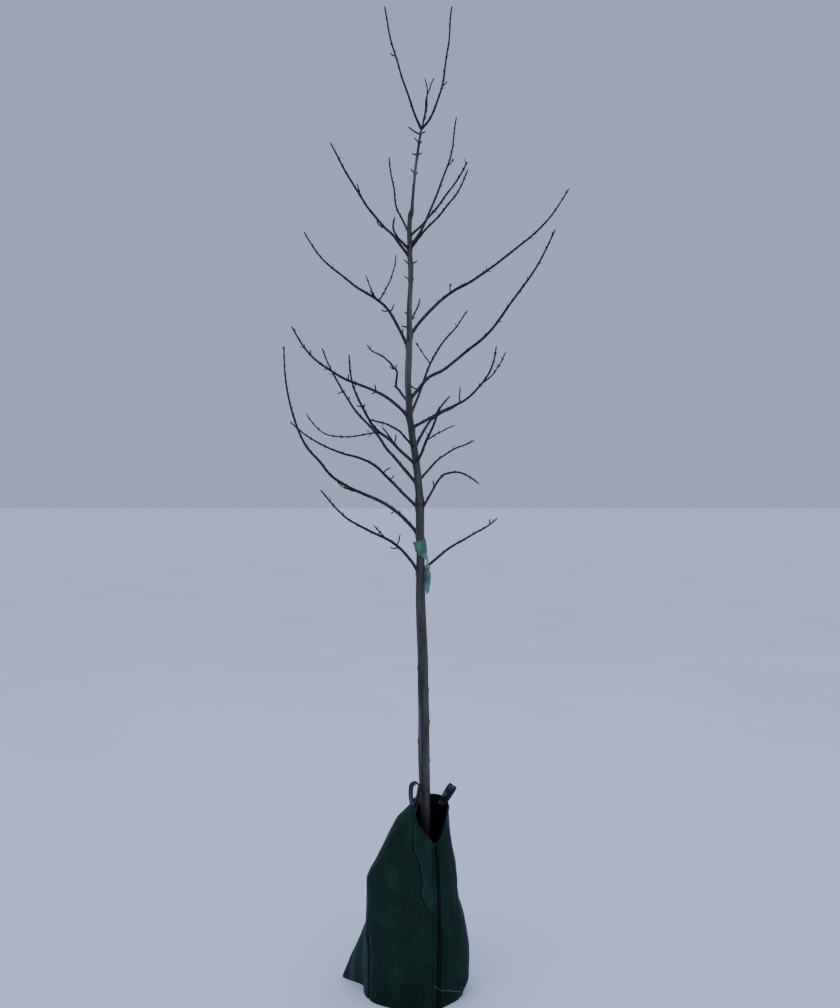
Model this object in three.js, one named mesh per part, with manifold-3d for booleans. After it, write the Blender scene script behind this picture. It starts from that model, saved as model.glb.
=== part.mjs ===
// A young tree, bare in winter, planted in the ground, with a zip-up watering bag round the foot of its
// trunk and a ribbon tied above it. Millimetres, +Z up. The origin is on level ground under the middle of
// the trunk, +X is the right of the front view and -Y is the front, where the zip of the bag is.

import * as THREE from 'three';
import { mergeVertices } from 'three/addons/utils/BufferGeometryUtils.js';
import Module from 'manifold-3d';

// Clearances
const GAP = 0.3;
const TWIG_CLEARANCE = 4;

// Every limb has its own seed, which gives its wander and its spurs
const SEED = { first: 101, step: 37 };
const RANDOM = { multiply: 1664525, add: 1013904223, range: 2 ** 32 };

// Trunk: how far its middle stands off the upright, and its radius, at some heights
const FORK_HEIGHT = 2858;
const TRUNK = [
  { height: 0, lean: 0, radius: 27 },
  { height: 45, lean: 0, radius: 22.5 },
  { height: 150, lean: 0, radius: 20 },
  { height: 660, lean: -1, radius: 17.7 },
  { height: 1110, lean: -7, radius: 16.8 },
  { height: 1360, lean: -15, radius: 14.4 },
  { height: 1590, lean: -17, radius: 12.8 },
  { height: 1715, lean: -27, radius: 11.8 },
  { height: 1890, lean: -51, radius: 10.9 },
  { height: 1985, lean: -55.5, radius: 10.5 },
  { height: 2070, lean: -55.5, radius: 10 },
  { height: 2160, lean: -53, radius: 9.3 },
  { height: 2240, lean: -53.5, radius: 8.6 },
  { height: 2380, lean: -49.8, radius: 7.7 },
  { height: 2470, lean: -52, radius: 7.2 },
  { height: 2545, lean: -51.5, radius: 6.5 },
  { height: 2645, lean: -41, radius: 4.7 },
  { height: 2770, lean: -23.5, radius: 4.2 },
  { height: FORK_HEIGHT, lean: -11, radius: 3.8 },
];
const TRUNK_SIDES = 10;
const FLARE_RINGS = [0, 15, 45, 90, 150];
const TRUNK_STEP = 82;
const ROOT_LOBES = 5;
const ROOT_LOBE_DEPTH = 0.16;
const ROOT_LOBE_HEIGHT = 110;
// Swollen rings: one where two low limbs leave, one round an old pruning scar
const COLLARS = [
  { height: 1608, swell: 2.4, spread: 14 },
  { height: 2566, swell: 1.9, spread: 13 },
];

// Limbs, from the lowest up. height: where the limb's middle line leaves the trunk's. azimuth: degrees
// from +X towards +Y. reach and rise: from there to the tip. leave and arrive: its slope in degrees at the
// root and at the tip. hold and settle: how far it keeps to each of those slopes, as a share of the
// straight line between. kinks: corners that stand off that bend, where a lost bud turned the growth, at a
// share of the length. thick: its radius at the root. share: how much of it is bare bough before the twigs
// start, 0 if the twigs stand on the trunk itself. shoots: its longer side shoots, each leaving it at a
// share of its length.
const LIMBS = [
  {
    name: 'first_left', height: 1350, azimuth: 205, reach: 350, rise: 296,
    leave: 64, arrive: 56, hold: 0.4, settle: 0.42, thick: 4.6, share: 0.2,
    kinks: [{ at: 0.25, by: 9 }, { at: 0.6, by: 14 }, { at: 0.7, by: -24 }, { at: 0.9, by: 8 }],
    shoots: [
      { at: 0.31, azimuth: 20, reach: 15, rise: 38 },
      { at: 0.4, azimuth: 190, reach: 43, rise: 47, leave: 46, arrive: 50 },
    ],
  },
  {
    name: 'first_right', height: 1369, azimuth: 25, reach: 296, rise: 183,
    leave: 42, arrive: 40, hold: 0.4, settle: 0.36, thick: 4.2, share: 0.4,
    kinks: [{ at: 0.5, by: 8 }],
    shoots: [{ at: 0.88, azimuth: 60, reach: 4, rise: 22 }],
  },
  {
    name: 'second_left', height: 1489, azimuth: 165, reach: 492, rise: 662,
    leave: 40, arrive: 89, hold: 0.5, settle: 0.5, thick: 5.4, share: 0.26,
    kinks: [
      { at: 0.12, by: 24 }, { at: 0.21, by: 34 }, { at: 0.29, by: -14 }, { at: 0.37, by: -60 },
      { at: 0.43, by: -45 }, { at: 0.5, by: 55 },
    ],
    shoots: [{ at: 0.3, azimuth: 172, reach: 84, rise: 46, leave: 12 }],
  },
  {
    name: 'third_left', height: 1580, azimuth: 155, reach: 517, rise: 317,
    leave: 43, arrive: 44, hold: 0.44, settle: 0.44, thick: 4.6, share: 0.22,
    kinks: [
      { at: 0.1, by: -7 }, { at: 0.3, by: -16 }, { at: 0.4, by: 34 },
      { at: 0.5, by: 30 }, { at: 0.7, by: -14 },
    ],
    shoots: [{ at: 0.25, azimuth: 45, reach: 20, rise: 18 }],
  },
  {
    name: 'third_right', height: 1575, azimuth: 315, reach: 259, rise: 87,
    leave: 38, arrive: -30, hold: 0.44, settle: 0.42, thick: 3.6, share: 0.36,
    kinks: [{ at: 0.3, by: -8 }, { at: 0.48, by: 46 }, { at: 0.7, by: -4 }], shoots: [],
  },
  {
    name: 'fourth_left', height: 1659, azimuth: 142, reach: 450, rise: 513,
    leave: 46, arrive: 66, hold: 0.36, settle: 0.34, thick: 5, share: 0.5,
    kinks: [
      { at: 0.2, by: 9 }, { at: 0.3, by: -44 }, { at: 0.4, by: 30 },
      { at: 0.5, by: 14 }, { at: 0.7, by: -9 },
    ],
    shoots: [],
  },
  {
    name: 'fourth_right', height: 1672, azimuth: 50, reach: 315, rise: 158,
    leave: 44, arrive: 18, hold: 0.4, settle: 0.4, thick: 3.2, share: 0, shoots: [],
  },
  {
    name: 'fifth_left', height: 1728, azimuth: 225, reach: 293, rise: 333,
    leave: 32, arrive: 84, hold: 0.42, settle: 0.42, thick: 4.8, share: 0.38,
    kinks: [{ at: 0.3, by: 22 }, { at: 0.45, by: -26 }],
    shoots: [
      { at: 0.42, azimuth: 172, reach: 240, rise: 64, leave: -9, arrive: 60, hold: 0.5, settle: 0.46 },
    ],
  },
  {
    name: 'fifth_front', height: 1738, azimuth: 290, reach: 300, rise: 185,
    leave: 30, arrive: 14, hold: 0.26, settle: 0.4, thick: 4.4, share: 0.3,
    kinks: [{ at: 0.25, by: -19 }, { at: 0.5, by: 12 }],
    shoots: [{ at: 0.34, azimuth: 345, reach: 96, rise: 48, leave: 34, arrive: 20, hold: 0.3 }],
  },
  {
    name: 'sixth_front', height: 1785, azimuth: 245, reach: 311, rise: 68,
    leave: 32, arrive: -2, hold: 0.4, settle: 0.4, thick: 3.2, share: 0,
    kinks: [{ at: 0.6, by: -6 }],
    shoots: [],
  },
  {
    name: 'sixth_back', height: 1780, azimuth: 65, reach: 399, rise: 206,
    leave: 47, arrive: 26, hold: 0.46, settle: 0.46, thick: 4.4, share: 0.36,
    kinks: [{ at: 0.2, by: 5 }],
    shoots: [{ at: 0.4, azimuth: 30, reach: 30, rise: 44 }],
  },
  {
    name: 'seventh_left', height: 1882, azimuth: 208, reach: 414, rise: 270,
    leave: 50, arrive: 58, hold: 0.45, settle: 0.52, thick: 4.8, share: 0.46,
    kinks: [{ at: 0.2, by: 6 }, { at: 0.32, by: -14 }],
    shoots: [{ at: 0.78, azimuth: 190, reach: 4, rise: 22 }],
  },
  {
    name: 'seventh_right', height: 1852, azimuth: 340, reach: 292, rise: 257,
    leave: 27, arrive: 85, hold: 0.45, settle: 0.42, thick: 4.2, share: 0.4,
    shoots: [
      { at: 0.46, azimuth: 150, reach: 6, rise: 52 },
      { at: 0.68, azimuth: 352, reach: 78, rise: 102, leave: 30, arrive: 68, hold: 0.34 },
    ],
  },
  {
    name: 'eighth_left', height: 1938, azimuth: 125, reach: 267, rise: 234,
    leave: 38, arrive: 34, hold: 0.3, settle: 0.3, thick: 3.4, share: 0,
    kinks: [{ at: 0.286, by: -125 }, { at: 0.357, by: 133 }, { at: 0.5, by: 30 }, { at: 0.9, by: -14 }],
    shoots: [],
  },
  {
    name: 'eighth_right', height: 1944, azimuth: 338, reach: 495, rise: 512,
    leave: 45, arrive: 62, hold: 0.44, settle: 0.4, thick: 4.8, share: 0.34,
    kinks: [{ at: 0.143, by: 38 }, { at: 0.24, by: -52 }, { at: 0.43, by: -10 }],
    shoots: [],
  },
  {
    name: 'eighth_back', height: 1887, azimuth: 62, reach: 460, rise: 451,
    leave: 58, arrive: 37, hold: 0.42, settle: 0.36, thick: 3.8, share: 0.3,
    shoots: [{ at: 0.4, azimuth: 178, reach: 52, rise: 76, leave: 50, arrive: 58, hold: 0.3 }],
  },
  {
    name: 'ninth_left', height: 2114, azimuth: 160, reach: 392, rise: 437,
    leave: 64, arrive: 61, hold: 0.5, settle: 0.48, thick: 4.6, share: 0.28,
    kinks: [{ at: 0.3, by: 14 }, { at: 0.5, by: -6 }],
    shoots: [
      { at: 0.34, azimuth: 170, reach: 46, rise: 90, leave: 40, arrive: 66, hold: 0.3 },
      { at: 0.34, azimuth: 20, reach: 61, rise: 164, leave: 58, arrive: 88, hold: 0.3, settle: 0.4 },
    ],
  },
  {
    name: 'ninth_right', height: 2155, azimuth: 15, reach: 579, rise: 553,
    leave: 58, arrive: 60, hold: 0.5, settle: 0.42, thick: 4.8, share: 0.22,
    kinks: [
      { at: 0.1, by: 9 }, { at: 0.24, by: 6 }, { at: 0.35, by: -40 },
      { at: 0.6, by: -10 }, { at: 0.8, by: 12 },
    ],
    shoots: [{ at: 0.26, azimuth: 80, reach: 4, rise: 36 }],
  },
  {
    name: 'ninth_back', height: 2202, azimuth: 75, reach: 141, rise: 115,
    leave: 36, arrive: 48, hold: 0.3, settle: 0.3, thick: 2.4, share: 0,
    kinks: [{ at: 0.4, by: -6 }],
    shoots: [],
  },
  {
    name: 'tenth_left', height: 2421, azimuth: 215, reach: 302, rise: 309,
    leave: 40, arrive: 58, hold: 0.4, settle: 0.4, thick: 4, share: 0.42,
    kinks: [{ at: 0.2, by: 22 }, { at: 0.3, by: -20 }, { at: 0.5, by: -13 }, { at: 0.75, by: 11 }],
    shoots: [{ at: 0.55, azimuth: 200, reach: 20, rise: 52, leave: 44 }],
  },
  {
    name: 'tenth_right', height: 2456, azimuth: 55, reach: 290, rise: 543,
    leave: 46, arrive: 78, hold: 0.34, settle: 0.34, thick: 3.8, share: 0.4,
    shoots: [{ at: 0.66, azimuth: 350, reach: 22, rise: 26 }],
  },
  {
    name: 'tenth_low_right', height: 2446, azimuth: 345, reach: 198, rise: 248,
    leave: 52, arrive: 62, hold: 0.42, settle: 0.34, thick: 3.2, share: 0,
    kinks: [{ at: 0.4, by: 4 }, { at: 0.7, by: -14 }],
    shoots: [],
  },
  {
    name: 'tenth_front', height: 2448, azimuth: 235, reach: 83, rise: 85,
    leave: 20, arrive: 105, hold: 0.9, settle: 0.3, thick: 4, share: 0,
    kinks: [{ at: 0.5, by: -8 }],
    shoots: [],
  },
  {
    name: 'eleventh_left', height: 2504, azimuth: 115, reach: 172, rise: 315,
    leave: 38, arrive: 82, hold: 0.34, settle: 0.34, thick: 2.8, share: 0,
    kinks: [{ at: 0.4, by: 3 }],
    shoots: [],
  },
  {
    name: 'eleventh_right', height: 2491, azimuth: 315, reach: 258, rise: 175,
    leave: 26, arrive: 54, hold: 0.42, settle: 0.42, thick: 3.2, share: 0.36,
    kinks: [{ at: 0.2, by: -16 }, { at: 0.4, by: 20 }],
    shoots: [],
  },
  {
    name: 'leader_left', height: 2848, azimuth: 200, reach: 129, rise: 384,
    leave: 62, arrive: 80, hold: 0.3, settle: 0.3, thick: 3.1, share: 0,
    shoots: [{ at: 0.6, azimuth: 175, reach: 20, rise: 14 }],
  },
  {
    name: 'leader_right', height: 2848, azimuth: 20, reach: 110, rise: 434,
    leave: 46, arrive: 82, hold: 0.3, settle: 0.3, thick: 3.1, share: 0,
    shoots: [
      { at: 0.01, azimuth: 330, reach: 10, rise: 165, leave: 74, arrive: 104, hold: 0.7, settle: 0.2 },
      {
        at: 0.01, azimuth: 330, reach: 46, rise: 157, leave: 74, arrive: 58, hold: 0.7, settle: 0.2,
        kinks: [{ at: 0.6, by: 8 }],
      },
      { at: 0.39, azimuth: 0, reach: 18, rise: 18 },
    ],
  },
];

// What every limb has in common. It wanders a little sideways and less up and down, by waves along it
const LIMB = {
  sides: 6, boughStep: 46, stemSides: 5, stemStep: 62,
  tip: 1.5, taper: 0.85, collar: 0.45, collarLength: 9, path: 14,
};
const WANDER = { sideways: 0.012, sidewaysWaves: 1.6, upright: 0.005, uprightWaves: 2.7 };
const SHOOT = { thick: 1.7, tip: 1.1, sides: 4, step: 48, leave: 30, arrive: 70, hold: 0.34, settle: 0.34 };
// Opposite pairs of short spurs, each pair turned a quarter from the last
const SPUR = {
  firstAt: 26, spacing: 50, spacingSpread: 22, shortest: 8, spread: 13, slope: 52, radius: 1.3, tip: 0.6,
  fromEnd: 4, chance: 0.55, sides: 3,
};
const BUD = { length: 7, radius: 2.1 };

// Watering bag: how far its outer face stands from the trunk's foot at some heights, and where its zip is.
// It stands on the ground and leans on the back of the trunk at its rim
const BAG = [
  { height: 0, left: -203, right: 142, front: -138, back: 92, zip: 41 },
  { height: 142, left: -200, right: 146, front: -118, back: 88, zip: 44 },
  { height: 231, left: -194, right: 130, front: -104, back: 82, zip: 46 },
  { height: 300, left: -193, right: 110, front: -95, back: 78, zip: 45 },
  { height: 365, left: -191, right: 106, front: -86, back: 74, zip: 42 },
  { height: 510, left: -120, right: 84, front: -66, back: 54, zip: 34 },
  { height: 558, left: -95, right: 79, front: -60, back: 40, zip: 33 },
  { height: 612, left: -44, right: 76, front: -52, back: 21, zip: 33 },
];
const BAG_WALL = 4;
const BAG_SQUARENESS = 2.3;
const BAG_COLUMNS = 40;
const BAG_ROWS = 12;
const RIM = 610;
const BACK_RIM_RISE = 18;
// The open collar: a bell-shaped notch in the front rim, deepest at the head of the zip, and how far it
// spreads to either side round the rim, in radians
const NOTCH = { left: 0.64, right: 0.68, depth: 118, power: 1.6 };
// The back panel's corner stands out as a fin at the left
const FIN = { angle: 2.76, reach: 90, width: 0.15, height: 228 };

const ZIP = { width: 9, thickness: 2.6 };

const STRAP = { width: 25, thickness: 3, tail: 16, bulge: 0.38, pinch: 7 };
const HANDLES = [
  { name: 'handle_left', x: -37.5, y: -38, turn: 22, tilt: 5, sink: 4, loop: 31, length: 79 },
  { name: 'handle_right', x: 61, y: 8, turn: 65, tilt: 31, sink: 2, loop: 34, length: 62 },
];

// Ribbon: a loose band round the trunk, and a tail that hangs from its knot
const BAND = {
  left: 1466, right: 1484, lowLeft: 1444, lowRight: 1412, wide: 23, deep: 18, forward: 3.4, thickness: 1.6,
  sides: 16,
};
const KNOT = { x: 5.5, y: -10, height: 1396, radius: 9, tall: 15.6 };
const TAIL = { length: 84, width: 19, thickness: 1.2, swing: 7, narrowest: 0.35 };

const COLOURS = {
  bark: 0x57564f, twig: 0x413b36, bag: 0x0f2b26, zip: 0x0a0b0c, strap: 0x17181c, ribbon: 0x3f7466,
};

const wasm = await Module();
wasm.setup();

const tree = new THREE.Group();

function radians(degrees) {
  return degrees * Math.PI / 180;
}

// The same numbers every time for one seed
function seeded(seed) {
  let state = seed;
  return () => {
    state = (state * RANDOM.multiply + RANDOM.add) % RANDOM.range;
    return state / RANDOM.range;
  };
}

// Value of one column of a table of stations at a height, on a smooth line through them
function station(table, key, height) {
  const last = table.length - 1;
  let i = 0;
  while (i < last - 1 && height > table[i + 1].height) {
    i += 1;
  }
  const low = table[i];
  const high = table[i + 1];
  const span = high.height - low.height;
  const t = Math.min(Math.max((height - low.height) / span, 0), 1);
  const before = table[Math.max(i - 1, 0)];
  const after = table[Math.min(i + 2, last)];
  const slope = (a, b) => (b[key] - a[key]) / (b.height - a.height || 1);
  const into = i > 0 ? slope(before, high) : slope(low, high);
  const out = i + 1 < last ? slope(low, after) : slope(low, high);
  const t2 = t * t;
  const t3 = t2 * t;
  return (2 * t3 - 3 * t2 + 1) * low[key] + (t3 - 2 * t2 + t) * span * into
    + (3 * t2 - 2 * t3) * high[key] + (t3 - t2) * span * out;
}

function trunkMiddle(height) {
  return new THREE.Vector3(station(TRUNK, 'lean', height), 0, height);
}

function trunkRadius(height) {
  let radius = station(TRUNK, 'radius', height);
  for (const collar of COLLARS) {
    radius += collar.swell * Math.exp(-(((height - collar.height) / collar.spread) ** 2));
  }
  return radius;
}

// A closed solid from a geometry, its shared corners merged
function solid(geometry) {
  geometry.deleteAttribute('normal');
  geometry.deleteAttribute('uv');
  const merged = mergeVertices(geometry, 1e-4);
  return new wasm.Manifold(new wasm.Mesh({
    numProp: 3,
    vertProperties: new Float32Array(merged.attributes.position.array),
    triVerts: new Uint32Array(merged.index.array),
  }));
}

// The largest body of a solid, as a geometry
function geometryOf(manifold) {
  const bodies = manifold.decompose();
  bodies.sort((a, b) => b.volume() - a.volume());
  const mesh = bodies[0].getMesh();
  const geometry = new THREE.BufferGeometry();
  geometry.setAttribute('position', new THREE.BufferAttribute(new Float32Array(mesh.vertProperties), 3));
  geometry.setIndex(new THREE.BufferAttribute(new Uint32Array(mesh.triVerts), 1));
  geometry.computeVertexNormals();
  return geometry;
}

function addNode(name, geometry, colour, roughness) {
  const material = new THREE.MeshStandardMaterial({ color: colour, roughness, metalness: 0 });
  const mesh = new THREE.Mesh(geometry, material);
  mesh.name = name;
  tree.add(mesh);
}

// Trunk: level rings of a cylinder moved to their place, so that its foot is a flat cut.
// grow makes it that much thicker, to cut what stands on it
function trunkGeometry(grow) {
  const heights = [...FLARE_RINGS];
  const low = heights.at(-1);
  const count = Math.ceil((FORK_HEIGHT - low) / TRUNK_STEP);
  for (let i = 1; i <= count; i += 1) {
    heights.push(low + (FORK_HEIGHT - low) * i / count);
  }
  for (const collar of COLLARS) {
    heights.push(collar.height - collar.spread, collar.height, collar.height + collar.spread);
  }
  heights.sort((a, b) => a - b);
  const geometry = new THREE.CylinderGeometry(1, 1, 1, TRUNK_SIDES, heights.length - 1);
  const position = geometry.attributes.position;
  for (let i = 0; i < position.count; i += 1) {
    const level = Math.round((position.getY(i) + 0.5) * (heights.length - 1));
    const height = heights[level];
    const angle = Math.atan2(-position.getZ(i), position.getX(i));
    const ring = Math.hypot(position.getX(i), position.getZ(i)) > 0.5 ? 1 : 0;
    const fade = Math.max(1 - height / ROOT_LOBE_HEIGHT, 0) ** 2;
    const lobe = 1 + ROOT_LOBE_DEPTH * fade * Math.cos(ROOT_LOBES * angle);
    const radius = ring * (trunkRadius(height) * lobe + grow);
    const middle = trunkMiddle(height);
    const top = level === heights.length - 1 ? grow : 0;
    position.setXYZ(
      i, middle.x + radius * Math.cos(angle), middle.y + radius * Math.sin(angle), height + top,
    );
  }
  return geometry;
}

// A round bar along a line, with a radius at each of some shares of its length, made by bending a
// closed cylinder
function bar(line, at, radii, sides) {
  const steps = at.length - 1;
  const points = at.map((t) => line.getPointAt(t));
  const along = at.map((t) => line.getTangentAt(t));
  const across = [];
  let side = new THREE.Vector3(0, 0, 1).cross(along[0]);
  if (side.length() < 0.01) {
    side = new THREE.Vector3(1, 0, 0);
  }
  for (let i = 0; i <= steps; i += 1) {
    side = side.clone().addScaledVector(along[i], -side.dot(along[i])).normalize();
    across.push(side);
  }
  const geometry = new THREE.CylinderGeometry(1, 1, 1, sides, steps);
  const position = geometry.attributes.position;
  for (let i = 0; i < position.count; i += 1) {
    const k = Math.round((position.getY(i) + 0.5) * steps);
    const up = new THREE.Vector3().crossVectors(across[k], along[k]);
    const place = points[k].clone()
      .addScaledVector(across[k], position.getX(i) * radii[k])
      .addScaledVector(up, position.getZ(i) * radii[k]);
    position.setXYZ(i, place.x, place.y, place.z);
  }
  return geometry;
}

function direction(azimuth, slope) {
  const a = radians(azimuth);
  const s = radians(slope);
  return new THREE.Vector3(Math.cos(a) * Math.cos(s), Math.sin(a) * Math.cos(s), Math.sin(s));
}

// Middle line of a limb or shoot: one bend from its root to its tip, with a slight seeded wander
function limbLine(start, row, random) {
  const { azimuth, reach, rise, leave, arrive, hold, settle, kinks = [] } = row;
  const flat = direction(azimuth, 0);
  const end = start.clone().addScaledVector(flat, reach).add(new THREE.Vector3(0, 0, rise));
  const chord = start.distanceTo(end);
  const bend = new THREE.CubicBezierCurve3(
    start,
    start.clone().addScaledVector(direction(azimuth, leave), hold * chord),
    end.clone().addScaledVector(direction(azimuth, arrive), -settle * chord),
    end,
  );
  const sideways = new THREE.Vector3(0, 0, 1).cross(flat);
  const upright = new THREE.Vector3().crossVectors(end.clone().sub(start).normalize(), sideways);
  const phase = random();
  const points = bend.getSpacedPoints(LIMB.path).map((p, i) => {
    const t = i / LIMB.path;
    const amount = chord * Math.sin(Math.PI * t);
    const aside = WANDER.sideways * amount * Math.sin(2 * Math.PI * (WANDER.sidewaysWaves * t + phase));
    let off = WANDER.upright * amount * Math.sin(2 * Math.PI * (WANDER.uprightWaves * t + phase));
    for (const { at, by } of kinks) {
      off += by * Math.min(t / at, (1 - t) / (1 - at));
    }
    return p.clone().addScaledVector(sideways, aside).addScaledVector(upright, off);
  });
  return new THREE.CatmullRomCurve3(points);
}

// Radius of a limb at a share of its length: a taper, with a collar where it leaves the trunk
function limbRadius(row, length, t) {
  const taper = LIMB.tip + (row.thick - LIMB.tip) * (1 - t) ** LIMB.taper;
  const fromTrunk = Math.max(t * length - trunkRadius(row.height), 0);
  return taper * (1 + LIMB.collar * Math.exp(-fromTrunk / LIMB.collarLength));
}

// Shares of a length between two others, about one step apart
function shares(from, to, length, step) {
  const count = Math.max(Math.round((to - from) * length / step), 2);
  return Array.from({ length: count + 1 }, (_, i) => THREE.MathUtils.lerp(from, to, i / count));
}

// Distance from a point to the middle line of a limb, and that limb's radius there
function nearest(point, limb) {
  let best = { distance: Infinity, radius: 0 };
  limb.samples.forEach((sample, i) => {
    const distance = point.distanceTo(sample);
    if (distance < best.distance) {
      best = { distance, radius: limb.radii[i] };
    }
  });
  return best;
}

// A twig stays nearer to its own limb than to any other and touches neither another limb nor the trunk
function hasRoom(points, own, limbs) {
  return points.every((point) => {
    const home = nearest(point, own).distance;
    const fromTrunk = point.distanceTo(trunkMiddle(point.z)) - trunkRadius(point.z);
    if (fromTrunk < TWIG_CLEARANCE) {
      return false;
    }
    return limbs.every((other) => {
      if (other === own) {
        return true;
      }
      const { distance, radius } = nearest(point, other);
      return distance > home && distance - radius > TWIG_CLEARANCE;
    });
  });
}

// A shoot or spur, tapering evenly
function twig(line, at, thick, tip, sides) {
  const radii = at.map((t) => thick + (tip - thick) * t);
  return solid(bar(line, at, radii, sides));
}

// Opposite pairs of spurs along a line from one share of its length to another
function spurs(line, from, to, random, own, limbs) {
  const found = [];
  const length = line.getLength();
  let at = SPUR.firstAt;
  let turn = random() * Math.PI;
  while (at < to * length - BUD.length) {
    const t = at / length;
    const middle = line.getPointAt(t);
    const along = line.getTangentAt(t);
    const level = new THREE.Vector3(0, 0, 1).cross(along).normalize();
    const up = new THREE.Vector3().crossVectors(along, level);
    for (const side of [0, Math.PI]) {
      const reach = SPUR.shortest + SPUR.spread * random() ** 2;
      const aim = new THREE.Vector3()
        .addScaledVector(level, Math.cos(turn + side) * Math.sin(radians(SPUR.slope)))
        .addScaledVector(up, Math.sin(turn + side) * Math.sin(radians(SPUR.slope)))
        .addScaledVector(along, Math.cos(radians(SPUR.slope)));
      const end = middle.clone().addScaledVector(aim, reach);
      const grown = random() < SPUR.chance && at > from * length + SPUR.fromEnd;
      if (grown && hasRoom([end, middle.clone().lerp(end, 0.6)], own, limbs)) {
        found.push(twig(new THREE.LineCurve3(middle, end), [0, 1], SPUR.radius, SPUR.tip, SPUR.sides));
      }
    }
    turn += Math.PI / 2;
    at += SPUR.spacing + SPUR.spacingSpread * (random() - 0.5);
  }
  return found;
}

// Twigs of one mass: its stem to the tip of the limb, the side shoots, and spurs on both
function twigMass(limb, limbs) {
  const { row, line, length, random } = limb;
  const from = row.share > 0 ? row.share + GAP / length : 0;
  const at = shares(from, 1, length, LIMB.stemStep);
  at.splice(-1, 0, 1 - BUD.length / length);
  const radii = at.map((t) => limbRadius(row, length, t));
  radii.splice(-2, 2, BUD.radius, SPUR.tip);
  let mass = solid(bar(line, at, radii, LIMB.stemSides));
  for (const shoot of row.shoots) {
    const start = line.getPointAt(shoot.at);
    const shootLine = limbLine(start, { ...SHOOT, ...shoot }, random);
    const steps = shares(0, 1, shootLine.getLength(), SHOOT.step);
    mass = mass.add(twig(shootLine, steps, SHOOT.thick, SHOOT.tip, SHOOT.sides));
    for (const spur of spurs(shootLine, 0, 1, random, limb, limbs)) {
      mass = mass.add(spur);
    }
  }
  for (const spur of spurs(line, from, 1, random, limb, limbs)) {
    mass = mass.add(spur);
  }
  return mass;
}

// Bough: the bare, tapering part of a limb, up to where its twigs start
function bough({ row, line, length }) {
  const at = shares(0, row.share, length, LIMB.boughStep);
  const radii = at.map((t) => limbRadius(row, length, t));
  return solid(bar(line, at, radii, LIMB.sides));
}

function addTree() {
  addNode('trunk', geometryOf(solid(trunkGeometry(0))), COLOURS.bark, 0.85);
  const cutter = solid(trunkGeometry(GAP));
  const limbs = LIMBS.map((row, i) => {
    const random = seeded(SEED.first + SEED.step * i);
    const line = limbLine(trunkMiddle(row.height), row, random);
    const length = line.getLength();
    const at = shares(0, 1, length, LIMB.stemStep / 4);
    return {
      row, line, length, random,
      samples: at.map((t) => line.getPointAt(t)),
      radii: at.map((t) => limbRadius(row, length, t)),
    };
  });
  for (const limb of limbs) {
    const { name, share } = limb.row;
    if (share > 0) {
      addNode(`bough_${name}`, geometryOf(bough(limb).subtract(cutter)), COLOURS.twig, 0.8);
    }
    addNode(`twigs_${name}`, geometryOf(twigMass(limb, limbs).subtract(cutter)), COLOURS.twig, 0.8);
  }
}

// A point of the bag's face at an angle round it and a height; inset moves it in towards the middle
function bagPoint(angle, height, inset) {
  const left = station(BAG, 'left', height);
  const right = station(BAG, 'right', height);
  const front = station(BAG, 'front', height);
  const back = station(BAG, 'back', height);
  const middle = new THREE.Vector3((left + right) / 2, (front + back) / 2, height);
  const cos = Math.cos(angle);
  const sin = Math.sin(angle);
  const x = Math.sign(cos) * Math.abs(cos) ** (2 / BAG_SQUARENESS) * (right - left) / 2;
  const y = Math.sign(sin) * Math.abs(sin) ** (2 / BAG_SQUARENESS) * (back - front) / 2;
  const out = new THREE.Vector3(x, y, 0);
  const turn = Math.atan2(Math.sin(angle - FIN.angle), Math.cos(angle - FIN.angle));
  const low = Math.max(1 - height / FIN.height, 0);
  const fin = FIN.reach * low * Math.exp(-((turn / FIN.width) ** 2));
  out.setLength(out.length() + fin - inset);
  return middle.add(out);
}

// Height of the rim at a turn round the bag from its zip
function rimHeight(turn) {
  const away = turn > Math.PI ? turn - 2 * Math.PI : turn;
  const angle = zipAngle(RIM) + turn;
  const rise = BACK_RIM_RISE * Math.max(Math.sin(angle), 0);
  const spread = away < 0 ? NOTCH.left : NOTCH.right;
  return RIM + rise - NOTCH.depth * Math.exp(-((Math.abs(away) / spread) ** NOTCH.power));
}

// Angle at which the zip stands in the front of the bag at a height
function zipAngle(height) {
  const x = station(BAG, 'zip', height);
  let low = Math.PI;
  let high = 2 * Math.PI;
  for (let i = 0; i < 30; i += 1) {
    const middle = (low + high) / 2;
    if (bagPoint(middle, height, 0).x < x) {
      low = middle;
    } else {
      high = middle;
    }
  }
  return (low + high) / 2;
}

// Bag: an open sleeve round the trunk. A torus has the right mesh: its section's turns become the way up
// the outside and down the inside. grow makes the wall that much thicker on both faces
function bagGeometry(grow) {
  const wallTurns = 2 * (BAG_ROWS + 1);
  const geometry = new THREE.TorusGeometry(2, 1, wallTurns, BAG_COLUMNS);
  const position = geometry.attributes.position;
  for (let i = 0; i < position.count; i += 1) {
    const round = Math.atan2(position.getY(i), position.getX(i)) / (2 * Math.PI) * BAG_COLUMNS;
    const column = (Math.round(round) + BAG_COLUMNS) % BAG_COLUMNS;
    const around = Math.hypot(position.getX(i), position.getY(i)) - 2;
    const turn = Math.atan2(position.getZ(i), around) / (2 * Math.PI) * wallTurns;
    const step = (Math.round(turn) + wallTurns) % wallTurns;
    const outside = step <= BAG_ROWS;
    const row = outside ? step : wallTurns - 1 - step;
    const fromZip = column / BAG_COLUMNS * 2 * Math.PI;
    const height = (rimHeight(fromZip) + grow) * row / BAG_ROWS;
    const place = bagPoint(zipAngle(height) + fromZip, height, outside ? -grow : BAG_WALL + grow);
    position.setXYZ(i, place.x, place.y, place.z);
  }
  return geometry;
}

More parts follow.
